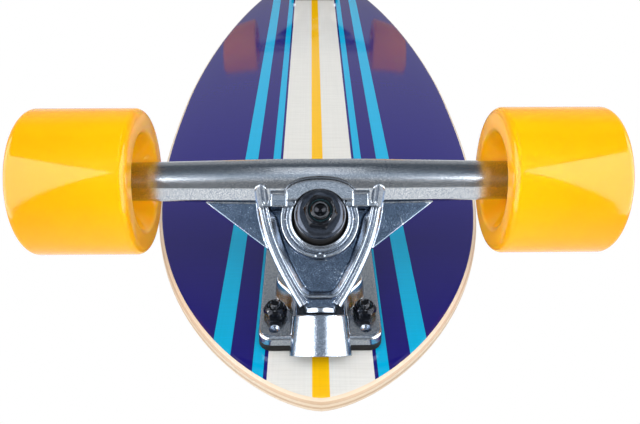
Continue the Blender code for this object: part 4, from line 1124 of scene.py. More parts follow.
def stack_mesh():
    """Speed washers, inner races and spacer, which the axle nut clamps into one stack."""
    race = INNER_RACE_DIAMETER / 2
    washer = SPEED_WASHER_DIAMETER / 2
    pair = BEARING_PAIR / 2
    end = STACK_LENGTH / 2 - FIT
    soft = FIT / 2
    face = [
        (SPACER_DIAMETER / 2, BEARING_SPACING / 2),
        (race, BEARING_SPACING / 2),
        (race, pair - soft),
        (race - soft, pair),
        (washer - soft, pair),
        (washer, pair + soft),
        (washer, end - soft),
        (washer - soft, end),
        (AXLE_DIAMETER / 2 + FIT, end),
    ]
    return round_mesh(both_ends(face))


def cup_mesh():
    outer = CUP_DIAMETER / 2
    inner = outer - CUP_WALL
    bottom = -RING_TO_RIM - CUP_DEPTH
    top = -RING_TO_RIM - FIT
    floor = bottom + CUP_FLOOR
    profile = [(outer - CUP_WALL / 2, bottom), (outer, bottom + CUP_WALL / 2)]
    profile += [(outer, top - CUP_LIP), (outer - CUP_LIP, top)]
    profile += [(inner + CUP_LIP, top), (inner, top - CUP_LIP)]
    profile += [(inner, floor + CUP_LIP), (inner - CUP_LIP, floor)]
    return mesh_of(on_steering_axis(profile))


def bushing_mesh(height, top_diameter):
    """A urethane bushing, wide end on z = 0, where its bore leaves room for the hanger's turn.

    The bore opens between two shares of the height, counted from the other end.
    """
    hole = KINGPIN_HOLE_RADIUS
    soft = BUSHING_CHAMFER
    wide = BUSHING_DIAMETER / 2
    narrow = top_diameter / 2
    shares = [step / BUSHING_BANDS for step in range(1, BUSHING_BANDS)]
    profile = [(hole + BUSHING_ROOM, 0)]
    profile += arc((wide - soft, soft), soft, -90, 0, 5)
    profile += [(wide + (narrow - wide) * t, soft + (height - 2 * soft) * t) for t in shares]
    profile += arc((narrow - soft, height - soft), soft, 0, 90, 5)
    profile += [(hole, height)]
    profile += [(hole + BUSHING_ROOM * share(t, *BUSHING_FLARE), height * (1 - t)) for t in shares]
    return round_mesh(profile)


def washer_mesh(bushing_end):
    """A cup washer on z = 0 whose lip bends down round the end of a bushing."""
    hole = KINGPIN_HOLE_RADIUS
    inside = bushing_end / 2 + FIT
    rim = bushing_end / 2 + WASHER_OVERHANG
    bend = WASHER_BEND
    top = WASHER_THICKNESS
    profile = [(hole, 0), (inside - FIT, 0), (inside, -FIT), (inside, -WASHER_LIP)]
    profile += [(rim - FIT / 2, -WASHER_LIP), (rim, -WASHER_LIP + FIT)]
    profile += arc((rim - FIT - bend, top - bend), bend, 0, 90, 8)
    profile += [(hole + FIT, top), (hole, top - FIT)]
    return round_mesh(profile)


def mounting_holes():
    """Cutters for the bolts' holes through the baseplate and riser, in the truck's frame."""
    places = [spot for y in BOLT_ROWS for spot in bolt_spots(y)]
    return holes(BOLT_HOLE_RADIUS, -2 * BASEPLATE_TOP, BASEPLATE_TOP, places)


def baseplate_outline():
    half = BASEPLATE_WIDTH / 2
    along = (-BASEPLATE_OUTER_END, BASEPLATE_INNER_END)
    return rounded_rectangle((-half, half), along, BASEPLATE_CORNER)


def riser_mesh():
    under = RISER_THICKNESS - FIT
    pad = stacked(baseplate_outline(), [(FIT, under), (0, under - FIT), (0, 2 * FIT), (FIT, FIT)])
    return combined(pad, ("DIFFERENCE", mounting_holes()))


def in_side_view(along, out):
    """The (y, z) in the truck's frame of a point given along the steering axis and the kingpin."""
    point = RING_CENTRE + along * ALONG_STEERING + out * ALONG_KINGPIN
    return point.y, point.z


def slab():
    """The flat part of the baseplate, with a rounded rim."""
    rim = arc((BASEPLATE_EDGE, BASEPLATE_TOP - BASEPLATE_EDGE), BASEPLATE_EDGE, 180, 90, 5)
    return stacked(baseplate_outline(), [(0, RISER_THICKNESS)] + rim)


def pedestal():
    """The raised body under the kingpin seat, wide in the middle and narrow at both ends."""
    neck = PEDESTAL_NECK_WIDTH / 2
    belly = PEDESTAL_WIDTH / 2
    outer_end = in_side_view(-RING_TO_RIM, 0)[0]
    neck_end = outer_end + PEDESTAL_NECK_LENGTH
    belly_start = neck_end + PEDESTAL_FLARE_LENGTH
    belly_end = belly_start + PEDESTAL_BELLY_LENGTH
    middle = ((neck + belly) / 2, (neck_end + belly_start) / 2)
    pull = PEDESTAL_FLARE_LENGTH / 5
    side = [(neck, outer_end)]
    side += bezier((neck, neck_end), (neck, neck_end + pull), middle, 8)
    side += bezier(middle, (belly, belly_start - pull), (belly, belly_start), 8)[1:]
    side += [(belly - 2 * PEDESTAL_DRAFT, belly_end), (PEDESTAL_BACK_WIDTH / 2, SEAT_BACK_FOOT)]
    top = RISER_THICKNESS + PEDESTAL_HEIGHT
    layers = [(-PEDESTAL_DRAFT, BASEPLATE_TOP - FIT)]
    layers += [(-PEDESTAL_EDGE_OUTSET, top - PEDESTAL_DRAFT), (PEDESTAL_TOP_INSET, top)]
    return stacked(side + mirrored(side), layers)


def kingpin_seat():
    """The tongue that the kingpin stands on, round about it at the top and cut off behind."""
    half = SEAT_WIDTH / 2
    outline = [(-half, -RING_TO_RIM), (half, -RING_TO_RIM)] + arc((0, 0), half, 0, 180, 40)
    tongue = extruded(outline, -BASEPLATE_SEAT - 3 * SEAT_THICKNESS, -BASEPLATE_SEAT)
    seat_top = in_side_view(half, -BASEPLATE_SEAT)[1]
    foot = -BASEPLATE_TOP + FIT
    behind = side_profile(
        [
            (-BASEPLATE_OUTER_END, foot),
            (SEAT_BACK_FOOT, foot),
            (SEAT_BACK_TOP, seat_top),
            (SEAT_BACK_TOP, seat_top - SEAT_THICKNESS),
            (-BASEPLATE_OUTER_END, seat_top - SEAT_THICKNESS),
        ],
        2 * SEAT_WIDTH,
    )
    return solid_of(combined(moved(tongue, STEERING_FRAME), ("INTERSECT", behind)))


def valley():
    """The cutter for the trough in front of the seat, where the yoke's nose swings."""
    beyond = 2 * BASEPLATE_WIDTH
    floor = -BASEPLATE_TOP - VALLEY_FLOOR
    start = -RING_TO_RIM - VALLEY_OVERLAP
    seat = -BASEPLATE_SEAT - VALLEY_OVERLAP
    slope = in_side_view(0, seat)
    return side_profile(
        [
            in_side_view(start, beyond),
            in_side_view(start, 0),
            (in_side_view(start, -PIVOT_HOUSING_RIM_DIAMETER / 2)[0], floor),
            (slope[0] + slope[1] - floor, floor),
            in_side_view(beyond, seat),
            in_side_view(beyond, beyond),
        ],
        VALLEY_WIDTH,
    )


def baseplate_polish_and_painted_light(point, normal):
    on_axis = TO_STEERING_FRAME @ point
    in_valley = abs(point.x) < VALLEY_WIDTH / 2 - FIT and on_axis.y > -RING_TO_RIM + MM
    if point.z > -BASEPLATE_TOP - MM and not in_valley:
        off_dimple = math.hypot(abs(point.x) - BOLT_SPACING_ACROSS / 2, point.y - SPARE_ROW)
        if off_dimple < SPARE_DIMPLE_RADIUS:
            return POLISH_AND_PAINTED_LIGHT["dimple"]
        return POLISH_AND_PAINTED_LIGHT["slab" if normal.z < -LEVEL else "slab_wall"]
    if on_axis.y < -RING_TO_RIM + MM:
        return POLISH_AND_PAINTED_LIGHT["housing"]
    # Painted shade: the valley floor is kept dark.
    if in_valley:
        return POLISH_AND_PAINTED_LIGHT["valley"]
    # Painted light: the pedestal's top is lightened, though it lies in shade.
    return POLISH_AND_PAINTED_LIGHT["pedestal" if normal.z < -0.5 else "pedestal_wall"]


def baseplate_mesh():
    """The baseplate in the truck's frame."""
    beyond = 2 * BASEPLATE_WIDTH
    end = -RING_TO_RIM - PIVOT_HOUSING_LENGTH
    rim_radius = PIVOT_HOUSING_RIM_DIAMETER / 2
    housing = [(PIVOT_HOUSING_END_DIAMETER / 2, end), (rim_radius, -RING_TO_RIM - FIT)]
    housing += [(rim_radius - FIT, -RING_TO_RIM)]
    cup_radius = CUP_DIAMETER / 2 + FIT
    cup_bore = [(cup_radius, -RING_TO_RIM - CUP_DEPTH - FIT), (cup_radius, 0)]
    reach = KINGPIN_HEAD_FLATS / math.sqrt(3) + FIT
    half = KINGPIN_HEAD_FLATS / 2 + FIT
    channel = box((-half, half), (-reach, beyond), (-beyond, -KINGPIN_POCKET))
    dimple = []
    for angle in SPARE_DIMPLE_ANGLES:
        x, y = math.cos(math.radians(angle)), math.sin(math.radians(angle))
        dimple.append((SPARE_DIMPLE_RADIUS * x, SPARE_DIMPLE_DEPTH * y - BASEPLATE_TOP))
    cutters = [
        box((-beyond, beyond), (-beyond, beyond), (-RISER_THICKNESS, beyond)),
        moved(on_steering_axis(cup_bore), STEERING_FRAME),
        moved(cylinder(KINGPIN_HOLE_RADIUS, -beyond, 0), STEERING_FRAME),
        moved(channel, STEERING_FRAME),
        mounting_holes(),
        copies(lambda: turned(dimple, HOLE_FACETS), bolt_spots(SPARE_ROW)),
    ]
    base = solid_of(combined(slab(), ("UNION", pedestal()), ("DIFFERENCE", valley())))
    shells = [base, moved(on_steering_axis(housing), STEERING_FRAME), kingpin_seat()]
    return casting(shells, cutters, baseplate_polish_and_painted_light)


def yoke_side():
    """The outer edge of the yoke's +X arm, from the nose to where the beads' tips begin."""
    half = YOKE_WIDTH / 2
    pull = (half, -YOKE_NOSE + YOKE_SWELL)
    side = bezier((YOKE_NOSE_WIDTH / 2, -YOKE_NOSE), pull, (half, YOKE_TIP), YOKE_STEPS)
    end = RAIL_END - RAIL_TIP_LENGTH
    return [point for point in side if point.y < end - FIT] + [Vector((half, end))]


def tube_flat_height(along, proud=0):
    """Height of the ground flat on the tube, or of a line above it, along the steering axis."""
    half_span = (TUBE_FLAT_END - TUBE_FLAT_START) / 2
    depth = TUBE_MIDDLE_DIAMETER / 2 * math.cos(half_span) + proud
    slope = math.cos(TUBE_FLAT_MIDDLE) * (along - RING_TO_AXLE)
    return AXLE_RAKE + (depth + slope) / math.sin(TUBE_FLAT_MIDDLE)


def rail(path, section, groove, slope_start=math.inf):
    """A bead swept along a path. Where it reaches the tube, its top climbs with the flat there.

    The section lists (distance to the right of the path, height) points. An end on the tube is
    rounded towards the groove, which lies at the given distance. What lies beyond the start of
    the slope gets narrower towards the nose and steeper towards the tube.
    """
    stations = [(point, 1, 0) for point in path]
    for angle in RAIL_TIP_ANGLES:
        squeeze = math.cos(math.radians(angle))
        ahead = Vector((0, RAIL_TIP_LENGTH * math.sin(math.radians(angle))))
        drop = RAIL_TIP_DROP * (1 - squeeze)
        if path[0].y > 0:
            stations.insert(0, (path[0] + ahead, squeeze, drop))
        if path[-1].y > 0:
            stations.append((path[-1] + ahead, squeeze, drop))
    rings = []
    for index, (point, squeeze, drop) in enumerate(stations):
        before = stations[max(index - 1, 0)][0]
        ahead = stations[min(index + 1, len(stations) - 1)][0] - before
        right = Vector((ahead.y, -ahead.x)).normalized()
        climb = tube_flat_height(point.y, RAIL_PROUD_OF_TUBE) - RAIL_TOP
        lift = (climb + math.hypot(climb, RAIL_CLIMB_ROUNDING)) / 2 - drop
        narrowing = RAIL_SLOPE_NARROWING * share(-point.y, 0, YOKE_NOSE / 2)
        narrowing += RAIL_SLOPE_STEEPENING * share(point.y, 0, PAD_FRONT)
        ring = []
        for offset, height in section:
            beyond = max(offset - slope_start, 0) * narrowing
            x, y = point + right * (groove + (offset - groove - beyond) * squeeze)
            climbs = height > RAIL_TOP - RAIL_SLOPE_DROP + FIT / 3
            ring.append((x, y, height + lift if climbs else height))
        rings.append(ring)
    return loft(rings)


def bead_sections():
    """The outer bead with the floor of the groove beside it, and the inner bead with its slope."""
    soft = RAIL_ROUNDING
    outer_soft = RAIL_OUTER_ROUNDING
    groove_floor = RAIL_TOP - RAIL_GROOVE_DEPTH
    under_inner = RAIL_WIDTH + RAIL_GROOVE + INNER_BEAD_WIDTH / 2
    outer = [(0, YOKE_LOW)]
    outer += arc((outer_soft, RAIL_TOP - outer_soft), outer_soft, 180, 90, 8)
    outer += arc((RAIL_WIDTH - soft, RAIL_TOP - soft), soft, 90, 0, 3)
    outer += [(RAIL_WIDTH, groove_floor), (under_inner, groove_floor), (under_inner, YOKE_LOW)]
    slope_end = INNER_BEAD_WIDTH + RAIL_SLOPE_WIDTH
    inner = [(0, YOKE_LOW)]
    inner += arc((soft, RAIL_TOP - soft), soft, 180, 90, 3)
    inner += arc((INNER_BEAD_WIDTH - soft, RAIL_TOP - soft), soft, 90, 30, 3)
    inner += [(slope_end, RAIL_TOP - RAIL_SLOPE_DROP), (slope_end + RAIL_FOOT, POCKET_FLOOR)]
    inner += [(slope_end + RAIL_FOOT, YOKE_LOW)]
    return outer, inner


def inner_rail_path():
    """The line of the inner bead: down one arm, round the foot of the pocket and up the other."""
    side = yoke_side()
    offset = RAIL_WIDTH + RAIL_GROOVE
    arm = []
    for before, point in zip(side, side[1:]):
        ahead = (point - before).normalized()
        arm.append(point + Vector((-ahead.y, ahead.x)) * offset)
    arm[-1].y -= RAIL_GROOVE
    foot_y = -YOKE_NOSE + NOSE_PLATE_LENGTH
    arm = [point for point in arm if point.y > foot_y + POCKET_CORNER_LENGTH]
    lean = arm[1] - arm[0]
    pull = arm[0] - lean * (arm[0].y - foot_y) / lean.y
    foot = (pull.x - POCKET_CORNER_LENGTH, foot_y)
    corner = bezier(arm[0], pull, foot, POCKET_CORNER_STEPS)
    half = list(reversed(arm)) + corner[1:] + [Vector((0, foot_y))]
    return half + [Vector(point) for point in mirrored(half[:-1])]


def yoke_shells():
    """The floor, the beads of both arms and the plate at the nose."""
    side = yoke_side()
    floor = side[:-1] + [(YOKE_WIDTH / 2, RING_TO_AXLE)]
    plate_end = -YOKE_NOSE + NOSE_PLATE_LENGTH + RAIL_WIDTH
    plate_half = YOKE_NOSE_WIDTH / 2 - RAIL_GROOVE
    lean = (side[NOSE_PLATE_STEP].x - side[0].x) / (side[NOSE_PLATE_STEP].y - side[0].y)
    spread = lean * (plate_end + YOKE_NOSE)
    plate = [(plate_half, -YOKE_NOSE + FIT), (plate_half + spread, plate_end)]
    outer, inner = bead_sections()
    other_side = [(-offset, height) for offset, height in outer]
    return [
        extruded(floor + mirrored(floor), -YOKE_UNDERSIDE, POCKET_FLOOR),
        rail(list(reversed(side)), outer, RAIL_WIDTH),
        rail([Vector((-x, y)) for x, y in reversed(side)], other_side, -RAIL_WIDTH),
        rail(inner_rail_path(), inner, 0, INNER_BEAD_WIDTH),
        extruded(plate + mirrored(plate), YOKE_LOW, NOSE_PLATE_TOP),
    ]


def gussets():
    """The thin webs between the arms and the tube."""
    foot = yoke_side()[GUSSET_STEP]
    outline = [
        (foot.x - RAIL_WIDTH / 2, foot.y),
        (GUSSET_REACH, RING_TO_AXLE - TUBE_END_DIAMETER / 2),
        (GUSSET_REACH, RING_TO_AXLE),
        (YOKE_WIDTH / 2 - RAIL_WIDTH, RING_TO_AXLE),
    ]
    top = AXLE_RAKE - GUSSET_BELOW_AXLE
    return [extruded(side, top - GUSSET_THICKNESS, top) for side in (outline, mirrored(outline))]


def pads():
    """The stock of the two pads beside the shoulder, and the cutters that level them."""
    inner = PAD_INNER_EDGE - RAIL_WIDTH
    outer = YOKE_WIDTH / 2 - RAIL_WIDTH
    level = [(PAD_FRONT - FIT, PAD_TOP)]
    level += arc((PAD_BACK - PAD_FILLET, PAD_TOP + PAD_FILLET), PAD_FILLET, -90, 0, 6)
    level += [(PAD_BACK, ABOVE_HANGER), (PAD_FRONT - FIT, ABOVE_HANGER)]
    middle = (PAD_INNER_EDGE + PAD_OUTER_EDGE) / 2
    blocks = []
    cuts = []
    for side in (-1, 1):
        stock = sorted((side * inner, side * outer))
        blocks.append(box(stock, (PAD_FRONT, RING_TO_AXLE), (YOKE_LOW, PAD_TOP + FIT)))
        cutter = side_profile(level, PAD_OUTER_EDGE - PAD_INNER_EDGE)
        cuts.append(moved(cutter, Matrix.Translation((side * middle, 0, 0))))
    return blocks, cuts


def bushing_ring():
    outer = RING_DIAMETER / 2
    inner = BUSHING_POCKET_RADIUS
    hole = RING_HOLE_DIAMETER / 2
    step = outer - RING_WIDTH - RING_GROOVE_WIDTH
    lip = inner + LIP_WALL
    profile = [
        (inner, -BOARDSIDE_LIP),
        (outer, -BOARDSIDE_LIP),
        (outer, RING_TOP),
        (outer - RING_WIDTH, RING_TOP),
        (outer - RING_WIDTH, RING_GROOVE_FLOOR),
        (step, RING_GROOVE_FLOOR),
        (step, STEP_TOP),
        (lip, STEP_TOP),
        (lip, LIP_TOP),
        (inner, LIP_TOP),
        (inner, BUSHING_SEAT),
        (hole, BUSHING_SEAT),
        (hole, -BUSHING_SEAT),
        (inner, -BUSHING_SEAT),
    ]
    return turned(profile, loop=True)


def bushing_pockets():
    """The cutter for both bushing seats and the hole in the web between them."""
    half = [(RING_HOLE_DIAMETER / 2, BUSHING_SEAT), (BUSHING_POCKET_RADIUS, BUSHING_SEAT)]
    half += [(BUSHING_POCKET_RADIUS, ABOVE_HANGER)]
    return turned([(radius, -height) for radius, height in reversed(half)] + half)


def shoulder_outline():
    half = SHOULDER_WIDTH / 2
    pull = (SHOULDER_CROWN_WIDTH / 2, SHOULDER_REACH)
    side = [(half, SHOULDER_FOOT)]
    side += bezier((half, SHOULDER_CORNER), pull, (0, SHOULDER_REACH), 24)
    return side + mirrored(side[:-1])


def tube():
    """The axle tube, thickest in the middle, with its ground flat."""
    half = HANGER_WIDTH / 2
    thin = TUBE_END_DIAMETER / 2
    end = [
        (half, thin - TUBE_END_CHAMFER),
        (half - TUBE_END_CHAMFER, thin),
        (TUBE_MIDDLE_LENGTH / 2, TUBE_MIDDLE_DIAMETER / 2),
    ]
    round_part = 2 * math.pi - (TUBE_FLAT_END - TUBE_FLAT_START)
    rings = []
    for x, radius in end + [(-x, radius) for x, radius in reversed(end)]:
        ring = []
        for step in range(FINE + 1):
            angle = TUBE_FLAT_END + round_part * step / FINE
            along = RING_TO_AXLE - radius * math.cos(angle)
            ring.append((x, along, AXLE_RAKE + radius * math.sin(angle)))
        rings.append(ring)
    return loft(rings)


def pivot():
    """The pin that turns in the pivot cup, and its root under the nose of the yoke."""
    neck = PIVOT_NECK_DIAMETER / 2
    tip = CUP_DIAMETER / 2 - CUP_WALL - FIT
    end = -RING_TO_RIM - CUP_DEPTH + CUP_FLOOR + FIT
    soft = PIVOT_TIP_ROUNDING
    pin = arc((tip - soft, end + soft), soft, -90, 0, 8)
    pin += [(tip, -RING_TO_RIM), (neck, -RING_TO_RIM + PIVOT_NECK_ABOVE_RIM)]
    pin += [(neck, -YOKE_NOSE + FIT)]
    root = [(neck - FIT, -YOKE_NOSE - FIT), (YOKE_UNDERSIDE - FIT, -YOKE_NOSE + PIVOT_ROOT_LENGTH)]
    beyond = 2 * YOKE_NOSE
    below = box((-beyond, beyond), (-beyond, beyond), (-beyond, POCKET_FLOOR - FIT))
    trimmed = solid_of(combined(on_steering_axis(root), ("INTERSECT", below)))
    return [trimmed, on_steering_axis(pin)]


def hanger_polish(point, normal):
    x, y, z = abs(point.x), point.y, point.z
    around = math.hypot(x, y)
    ground = -normal.y * math.cos(TUBE_FLAT_MIDDLE) + normal.z * math.sin(TUBE_FLAT_MIDDLE)
    if y < -YOKE_NOSE + 2 * FIT or x > HANGER_WIDTH / 2 - TUBE_END_CHAMFER:
        return POLISH_AND_PAINTED_LIGHT["ends"]
    if z > SHOULDER_TOP - 0.5 * MM and x < SHOULDER_WIDTH / 2 + FIT and y < SHOULDER_REACH + FIT:
        if normal.z > NEARLY_LEVEL:
            return POLISH_AND_PAINTED_LIGHT["shoulder"]
    if PAD_INNER_EDGE - FIT < x < PAD_OUTER_EDGE + FIT and PAD_FRONT - FIT < y < PAD_BACK:
        if normal.z > LEVEL and z < PAD_TOP + MM:
            return POLISH_AND_PAINTED_LIGHT["pad"]
    if around < RING_DIAMETER / 2 + FIT and z < LIP_TOP + FIT and y < RING_DIAMETER / 2 - 4 * MM:
        edge = abs(around - (RING_DIAMETER / 2 - RING_WIDTH / 2)) < RING_WIDTH / 2 + FIT
        lip = around < BUSHING_POCKET_RADIUS + LIP_WALL + FIT
        line = abs(around - BUSHING_POCKET_RADIUS - 2 * LIP_WALL) < FIT
        bright = (edge or lip or line) and z > RING_GROOVE_FLOOR
        return POLISH_AND_PAINTED_LIGHT["ring_edge" if bright else "ring"]
    if x > YOKE_WIDTH / 2 and normal.z > NEARLY_LEVEL and z < AXLE_RAKE:
        return POLISH_AND_PAINTED_LIGHT["gusset"]
    if y > PAD_FRONT:
        bead_width = RAIL_WIDTH + RAIL_GROOVE + INNER_BEAD_WIDTH + RAIL_SLOPE_WIDTH
        on_rail = YOKE_WIDTH / 2 - bead_width < x < YOKE_WIDTH / 2 + FIT
        if on_rail and z > tube_flat_height(y) + FIT and y < RAIL_END + FIT:
            return POLISH_AND_PAINTED_LIGHT["bead_tip"]
        if y < RING_TO_AXLE - TUBE_END_DIAMETER / 2 * math.cos(TUBE_FLAT_END) + FIT:
            return max(share(ground, *GROUND_BAND), POLISH_AND_PAINTED_LIGHT["tube"])
        return POLISH_AND_PAINTED_LIGHT["tube"]
    if normal.x * math.copysign(1, point.x) > 0.1:
        return share(z, *OUTER_WALL_BAND) * POLISH_AND_PAINTED_LIGHT["outer_wall"]
    return max(share(z, *BEAD_BAND) * POLISH_AND_PAINTED_LIGHT["bead"], share(z, *SLOPE_BAND) * POLISH_AND_PAINTED_LIGHT["slope"])


def hanger_mesh():
    """The hanger in the steering frame."""
    blocks, pad_cuts = pads()
    shoulder = extruded(shoulder_outline(), YOKE_LOW, SHOULDER_TOP + SHOULDER_STOCK)
    spot_face = extruded(inset_outline(shoulder_outline(), -FIT), SHOULDER_TOP, ABOVE_HANGER)
    half = RING_NOTCH_WIDTH / 2
    near = -RING_DIAMETER / 2 + RING_WIDTH / 2 - RING_NOTCH_LENGTH / 2
    along = (near, near + RING_NOTCH_LENGTH)
    notch = rounded_rectangle((-half, half), along, RING_NOTCH_LENGTH / 2 - FIT / 3, 6)
    bore = cylinder(AXLE_DIAMETER / 2 + FIT, -HANGER_WIDTH, HANGER_WIDTH)
    cutters = [
        spot_face,
        *pad_cuts,
        bushing_pockets(),
        extruded(notch, RING_TOP - RING_NOTCH_DEPTH, 2 * LIP_TOP),
        moved(bore, axle_turn(1)),
    ]
    shells = [*yoke_shells(), *gussets(), *blocks, tube(), bushing_ring(), shoulder, *pivot()]
    return casting(shells, cutters, hanger_polish)


def axle_turn(side):
    """Steering frame to a frame on the axle whose +Z points outwards on the given side."""
    centre = Matrix.Translation((0, RING_TO_AXLE, AXLE_RAKE))
    return centre @ Matrix.Rotation(side * math.pi / 2, 4, "Y")


def truck_frames():
    """Each truck's own frame in the world."""
    low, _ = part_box("deck")
    frames = {}
    for joint in frame["joints"]:
        name = joint["name"]
        if name.endswith("left_wheel_spin"):
            y = joint["pos_m"][1]
            turn = Matrix.Rotation(math.pi if y > 0 else 0, 4, "Z")
            frames[name.split("_")[0]] = Matrix.Translation((0, y, low.z)) @ turn
    return frames


def raised(height):
    return Matrix.Translation((0, 0, height))


def build_truck(end, truck, kinds):
    steering = truck @ STEERING_FRAME
    hanger = f"{end}_hanger_assembly"
    upside_down = Matrix.Rotation(math.pi, 4, "X")

    def add(kind, matrix, body="board", spot="", angle=SMOOTH_ANGLE):
        node = f"{end}_{kind}{spot}"
        return place(f"{node}_fine", *kinds[kind], matrix, body, node, angle)

    def up_kingpin(height):
        return steering @ raised(height)

    def down_kingpin(height):
        return up_kingpin(-height) @ upside_down

    add("riser_pad", truck)
    add("baseplate", truck, angle=CASTING_SMOOTH_ANGLE)
    add("pivot_cup", steering)
    add("kingpin", steering)
    squeezed = (
        ("boardside", down_kingpin, BARREL_WASHER, BOARDSIDE_LIP),
        ("roadside", up_kingpin, CONE_WASHER, LIP_TOP),
    )
    for row, along, washer, lip in squeezed:
        bushing = add(f"bushing_{row}", along(BUSHING_SEAT + FIT), None)
        held = along(washer - WASHER_LIP).translation
        tuple(along(lip).translation)
        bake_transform(bushing)
    for row, along, washer, _ in squeezed:
        add(f"washer_{row}", along(washer))
    nut_turn = Matrix.Rotation(KINGPIN_NUT_TURN, 4, "Z")
    add("kingpin_nut", up_kingpin(KINGPIN_NUT_FACE) @ nut_turn)
    add("hanger", steering, hanger, angle=CASTING_SMOOTH_ANGLE)
    add("axle", steering @ axle_turn(1), hanger)
    for side in (1, -1):
        outwards = steering @ axle_turn(side)
        name = "left" if outwards.to_3x3().col[2].x > 0 else "right"
        centre = outwards @ raised((HANGER_WIDTH + STACK_LENGTH) / 2)
        wheel = f"{end}_{name}_wheel"
        add("wheel", centre, wheel, f"_{name}")
        for row, sign in (("inner", -1), ("outer", 1)):
            offset = raised(sign * (BEARING_SPACING + BEARING_WIDTH) / 2)
            add("bearing", centre @ offset, wheel, f"_{name}_{row}")
        add("axle_stack", centre, hanger, f"_{name}")
        add("axle_nut", outwards @ raised(AXLE_NUT_START), hanger, f"_{name}")
    flat_outwards = Matrix.Rotation(math.pi / 6, 4, "Z")
    for side in (1, -1):
        name = "left" if truck.to_3x3().col[0].x * side > 0 else "right"
        for y, row in zip(BOLT_ROWS, ("outer", "inner")):
            head = truck @ Matrix.Translation((side * BOLT_SPACING_ACROSS / 2, y, 0))
            add("bolt", head, "board", f"_{name}_{row}")
            seat = head @ raised(-BASEPLATE_TOP - FIT) @ upside_down
            add("bolt_nut", seat @ flat_outwards, "board", f"_{name}_{row}")


def truck_kinds():
    """The mesh and the materials of each kind of piece on a truck."""
    black = [black_metal("black_oxide_steel_fine", (0.005, 0.006, 0.009), (0.016, 0.018, 0.024))]
    blued = [black_metal("blued_steel", (0.022, 0.027, 0.039), (0.066, 0.08, 0.108))]
    cast = [cast_aluminium()]
    steel = [bright_metal()]
    nut = [*black, nylon()]
    rubber = [soft_black("riser_rubber", 0.005, 0.5, 0.25 * MM)]
    urethane = [soft_black("bushing_urethane", 0.012, 0.3, 0.4 * MM)]
    return {
        "riser_pad": (riser_mesh(), rubber),
        "baseplate": (baseplate_mesh(), cast),
        "pivot_cup": (cup_mesh(), urethane),
        "kingpin": (kingpin_mesh(), black),
        "bushing_boardside": (bushing_mesh(BARREL_HEIGHT, BUSHING_DIAMETER), urethane),
        "bushing_roadside": (bushing_mesh(CONE_HEIGHT, CONE_TOP_DIAMETER), urethane),
        "washer_boardside": (washer_mesh(BUSHING_DIAMETER), blued),
        "washer_roadside": (washer_mesh(CONE_TOP_DIAMETER), blued),
        "kingpin_nut": (lock_nut(KINGPIN_NUT_FLATS, KINGPIN_NUT_HEIGHT, KINGPIN_DIAMETER), nut),
        "hanger": (hanger_mesh(), cast),
        "axle": (axle_mesh(), steel),
        "wheel": (wheel_mesh(), [wheel_urethane()]),
        "bearing": (bearing_mesh(), steel),
        "axle_stack": (stack_mesh(), steel),
        "axle_nut": (lock_nut(AXLE_NUT_FLATS, AXLE_NUT_HEIGHT, AXLE_DIAMETER), nut),
        "bolt": (bolt_mesh(), black),
        "bolt_nut": (lock_nut(BOLT_NUT_FLATS, BOLT_NUT_HEIGHT, BOLT_DIAMETER), nut),
    }


def build_camera():
    sin, cos = math.sin, math.cos
    level = cos(CAMERA_PITCH)
    ahead = Vector((sin(CAMERA_YAW) * level, cos(CAMERA_YAW) * level, -sin(CAMERA_PITCH)))
    right = Vector((cos(CAMERA_YAW), -sin(CAMERA_YAW), 0))
    up = right.cross(ahead)
    rolled_right = right * cos(CAMERA_ROLL) + up * sin(CAMERA_ROLL)
    rolled_up = up * cos(CAMERA_ROLL) - right * sin(CAMERA_ROLL)
    columns = [Vector((-v.x, v.y, -v.z)) for v in (rolled_right, rolled_up, -ahead)]
    data = bpy.data.cameras.new("photo_camera")
    data.sensor_width = SENSOR
    data.lens = CAMERA_FOCUS * SENSOR / IMAGE_WIDTH
    data.clip_start = CAMERA_NEAR
    camera = linked("photo_camera", data)
    turn = Matrix(columns).transposed().to_4x4()
    camera.matrix_world = Matrix.Translation(CAMERA_PLACE) @ turn
    bpy.context.scene.camera = camera


def build_floor():
    """A floor that fades into the white round it, and is clear from below, where the camera is."""
    half = FLOOR_FADES_BY
    solid = bmesh.new()
    corners = [(-half, -half, 0), (half, -half, 0), (half, half, 0), (-half, half, 0)]
    solid.faces.new([solid.verts.new(corner) for corner in corners])
    floor = linked("floor", mesh_of(solid))
    g = Surface("floor_paper", specular_ior_level=0.1)
    tooth = g.noise(400, 3)
    paper = g.finished(g.mix(tooth, gray(0.86), gray(0.90)), tooth * 0.1 + 0.8)
    from_below = g.add("NewGeometry", {}, "Backfacing")
    reach = g.add("VectorMath", {0: g.point}, "Value", operation="LENGTH")
    gone = g.math("MAXIMUM", from_below, g.span(reach, FLOOR_FADES_FROM, FLOOR_FADES_BY))
    shown = Value(g, g.shader.outputs[0])
    sides = g.add("MixShader", {0: gone, 1: shown, 2: g.add("BsdfTransparent", {})})
    g.put(g.nodes["Material Output"].inputs["Surface"], sides)
    floor.data.materials.append(paper)
    for kind in ("diffuse", "glossy", "transmission", "shadow"):
        setattr(floor, f"visible_{kind}", False)


def build_world():
    """A white studio to the eye. Shiny pieces see its brighter and darker sides."""
    world = bpy.data.worlds.new("studio")
    world.use_nodes = True
    bpy.context.scene.world = world
    g = Graph(world.node_tree, "Generated")
    down = g.z * -1.0
    turn = g.math("FRACT", g.math("ARCTAN2", down, g.y) / (2 * math.pi) + 1.0)
    level = g.ramp(turn, [(place / 360, gray(value)) for place, value in STUDIO], "EASE")
    shiny = g.blend(g.span(abs(g.x), 0.6, 0.95), level, STUDIO_SIDES)
    is_shine = g.add("LightPath", {}, "Is Glossy Ray")
    is_camera = g.add("LightPath", {}, "Is Camera Ray")
    lit = g.blend(is_shine, DAYLIGHT, shiny)
    cool = g.span(down, 0.5, 0.95) * is_shine
    background = g.nodes["Background"]
    g.put(background.inputs["Strength"], g.blend(is_camera, lit, 1.0))
    g.put(background.inputs["Color"], g.mix(cool, gray(1.0), STUDIO_BELOW))


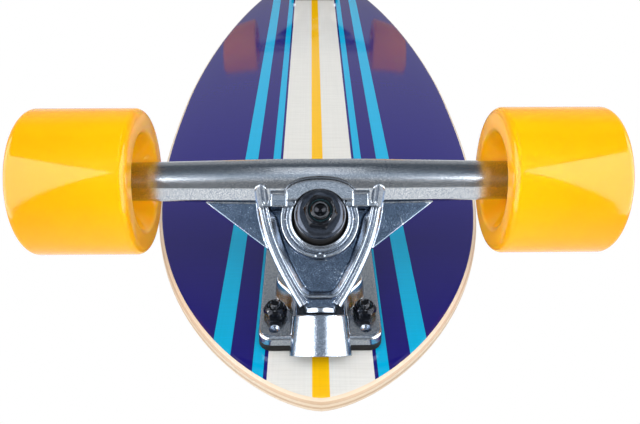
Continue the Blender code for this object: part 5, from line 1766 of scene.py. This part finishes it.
def aimed(data, spot, aim, seen_by):
    """A lamp that the camera doesn't see, and that lights either the shine or the colour."""
    light = linked(data.name, data)
    light.location = spot
    light.rotation_mode = "QUATERNION"
    light.rotation_quaternion = (Vector(aim) - Vector(spot)).to_track_quat("-Z", "Y")
    light.visible_camera = False
    light.visible_glossy = seen_by == "shine"
    light.visible_diffuse = seen_by == "color"


def panel(name, spot, aim, size, power, seen_by):
    data = bpy.data.lights.new(name, "AREA")
    data.shape = "RECTANGLE"
    data.size, data.size_y = size
    data.energy = power
    aimed(data, spot, aim, seen_by)


def hub_lamp(side):
    """Light from the other side of the truck that reaches into the hub of a front wheel."""
    data = bpy.data.lights.new(f"hub_light_{side + 1}", "SPOT")
    data.energy = HUB_LAMP_POWER
    data.spot_size = HUB_LAMP_SPREAD
    data.spot_blend = HUB_LAMP_SOFTNESS
    data.shadow_soft_size = HUB_LAMP_RADIUS
    spot, aim = [(side * x, y, z) for x, y, z in (HUB_LAMP_PLACE, HUB_LAMP_AIM)]
    aimed(data, spot, aim, "color")


def build_lamps():
    """Softboxes shine from both sides and from below, and the other lamps light the colour."""
    x, y, z = SIDE_LAMP_WAY
    for side in (-1, 1):
        spot = LAMP_AIM + Vector((side * x, y, z)).normalized() * SIDE_LAMP_DISTANCE
        for name, power, seen_by in SIDE_LAMPS:
            panel(f"{name}_{side + 1}", spot, LAMP_AIM, SIDE_LAMP_SIZE, power, seen_by)
        hub_lamp(side)
    for lamp in LAMPS:
        panel(*lamp)


def main():
    bpy.context.scene.view_settings.view_transform = "Standard"
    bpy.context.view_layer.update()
    trucks = truck_frames()
    kinds = truck_kinds()
    build_deck(trucks)
    for end, truck in trucks.items():
        build_truck(end, truck, kinds)
    build_camera()
    build_floor()
    build_world()
    build_lamps()


with open("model.json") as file:
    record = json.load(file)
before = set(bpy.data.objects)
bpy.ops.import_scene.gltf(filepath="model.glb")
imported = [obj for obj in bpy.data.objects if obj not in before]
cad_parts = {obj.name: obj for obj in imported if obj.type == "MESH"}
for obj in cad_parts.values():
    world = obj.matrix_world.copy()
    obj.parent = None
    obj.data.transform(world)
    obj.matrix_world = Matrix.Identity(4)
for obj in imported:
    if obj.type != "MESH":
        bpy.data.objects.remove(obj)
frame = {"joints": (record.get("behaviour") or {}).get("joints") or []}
main()
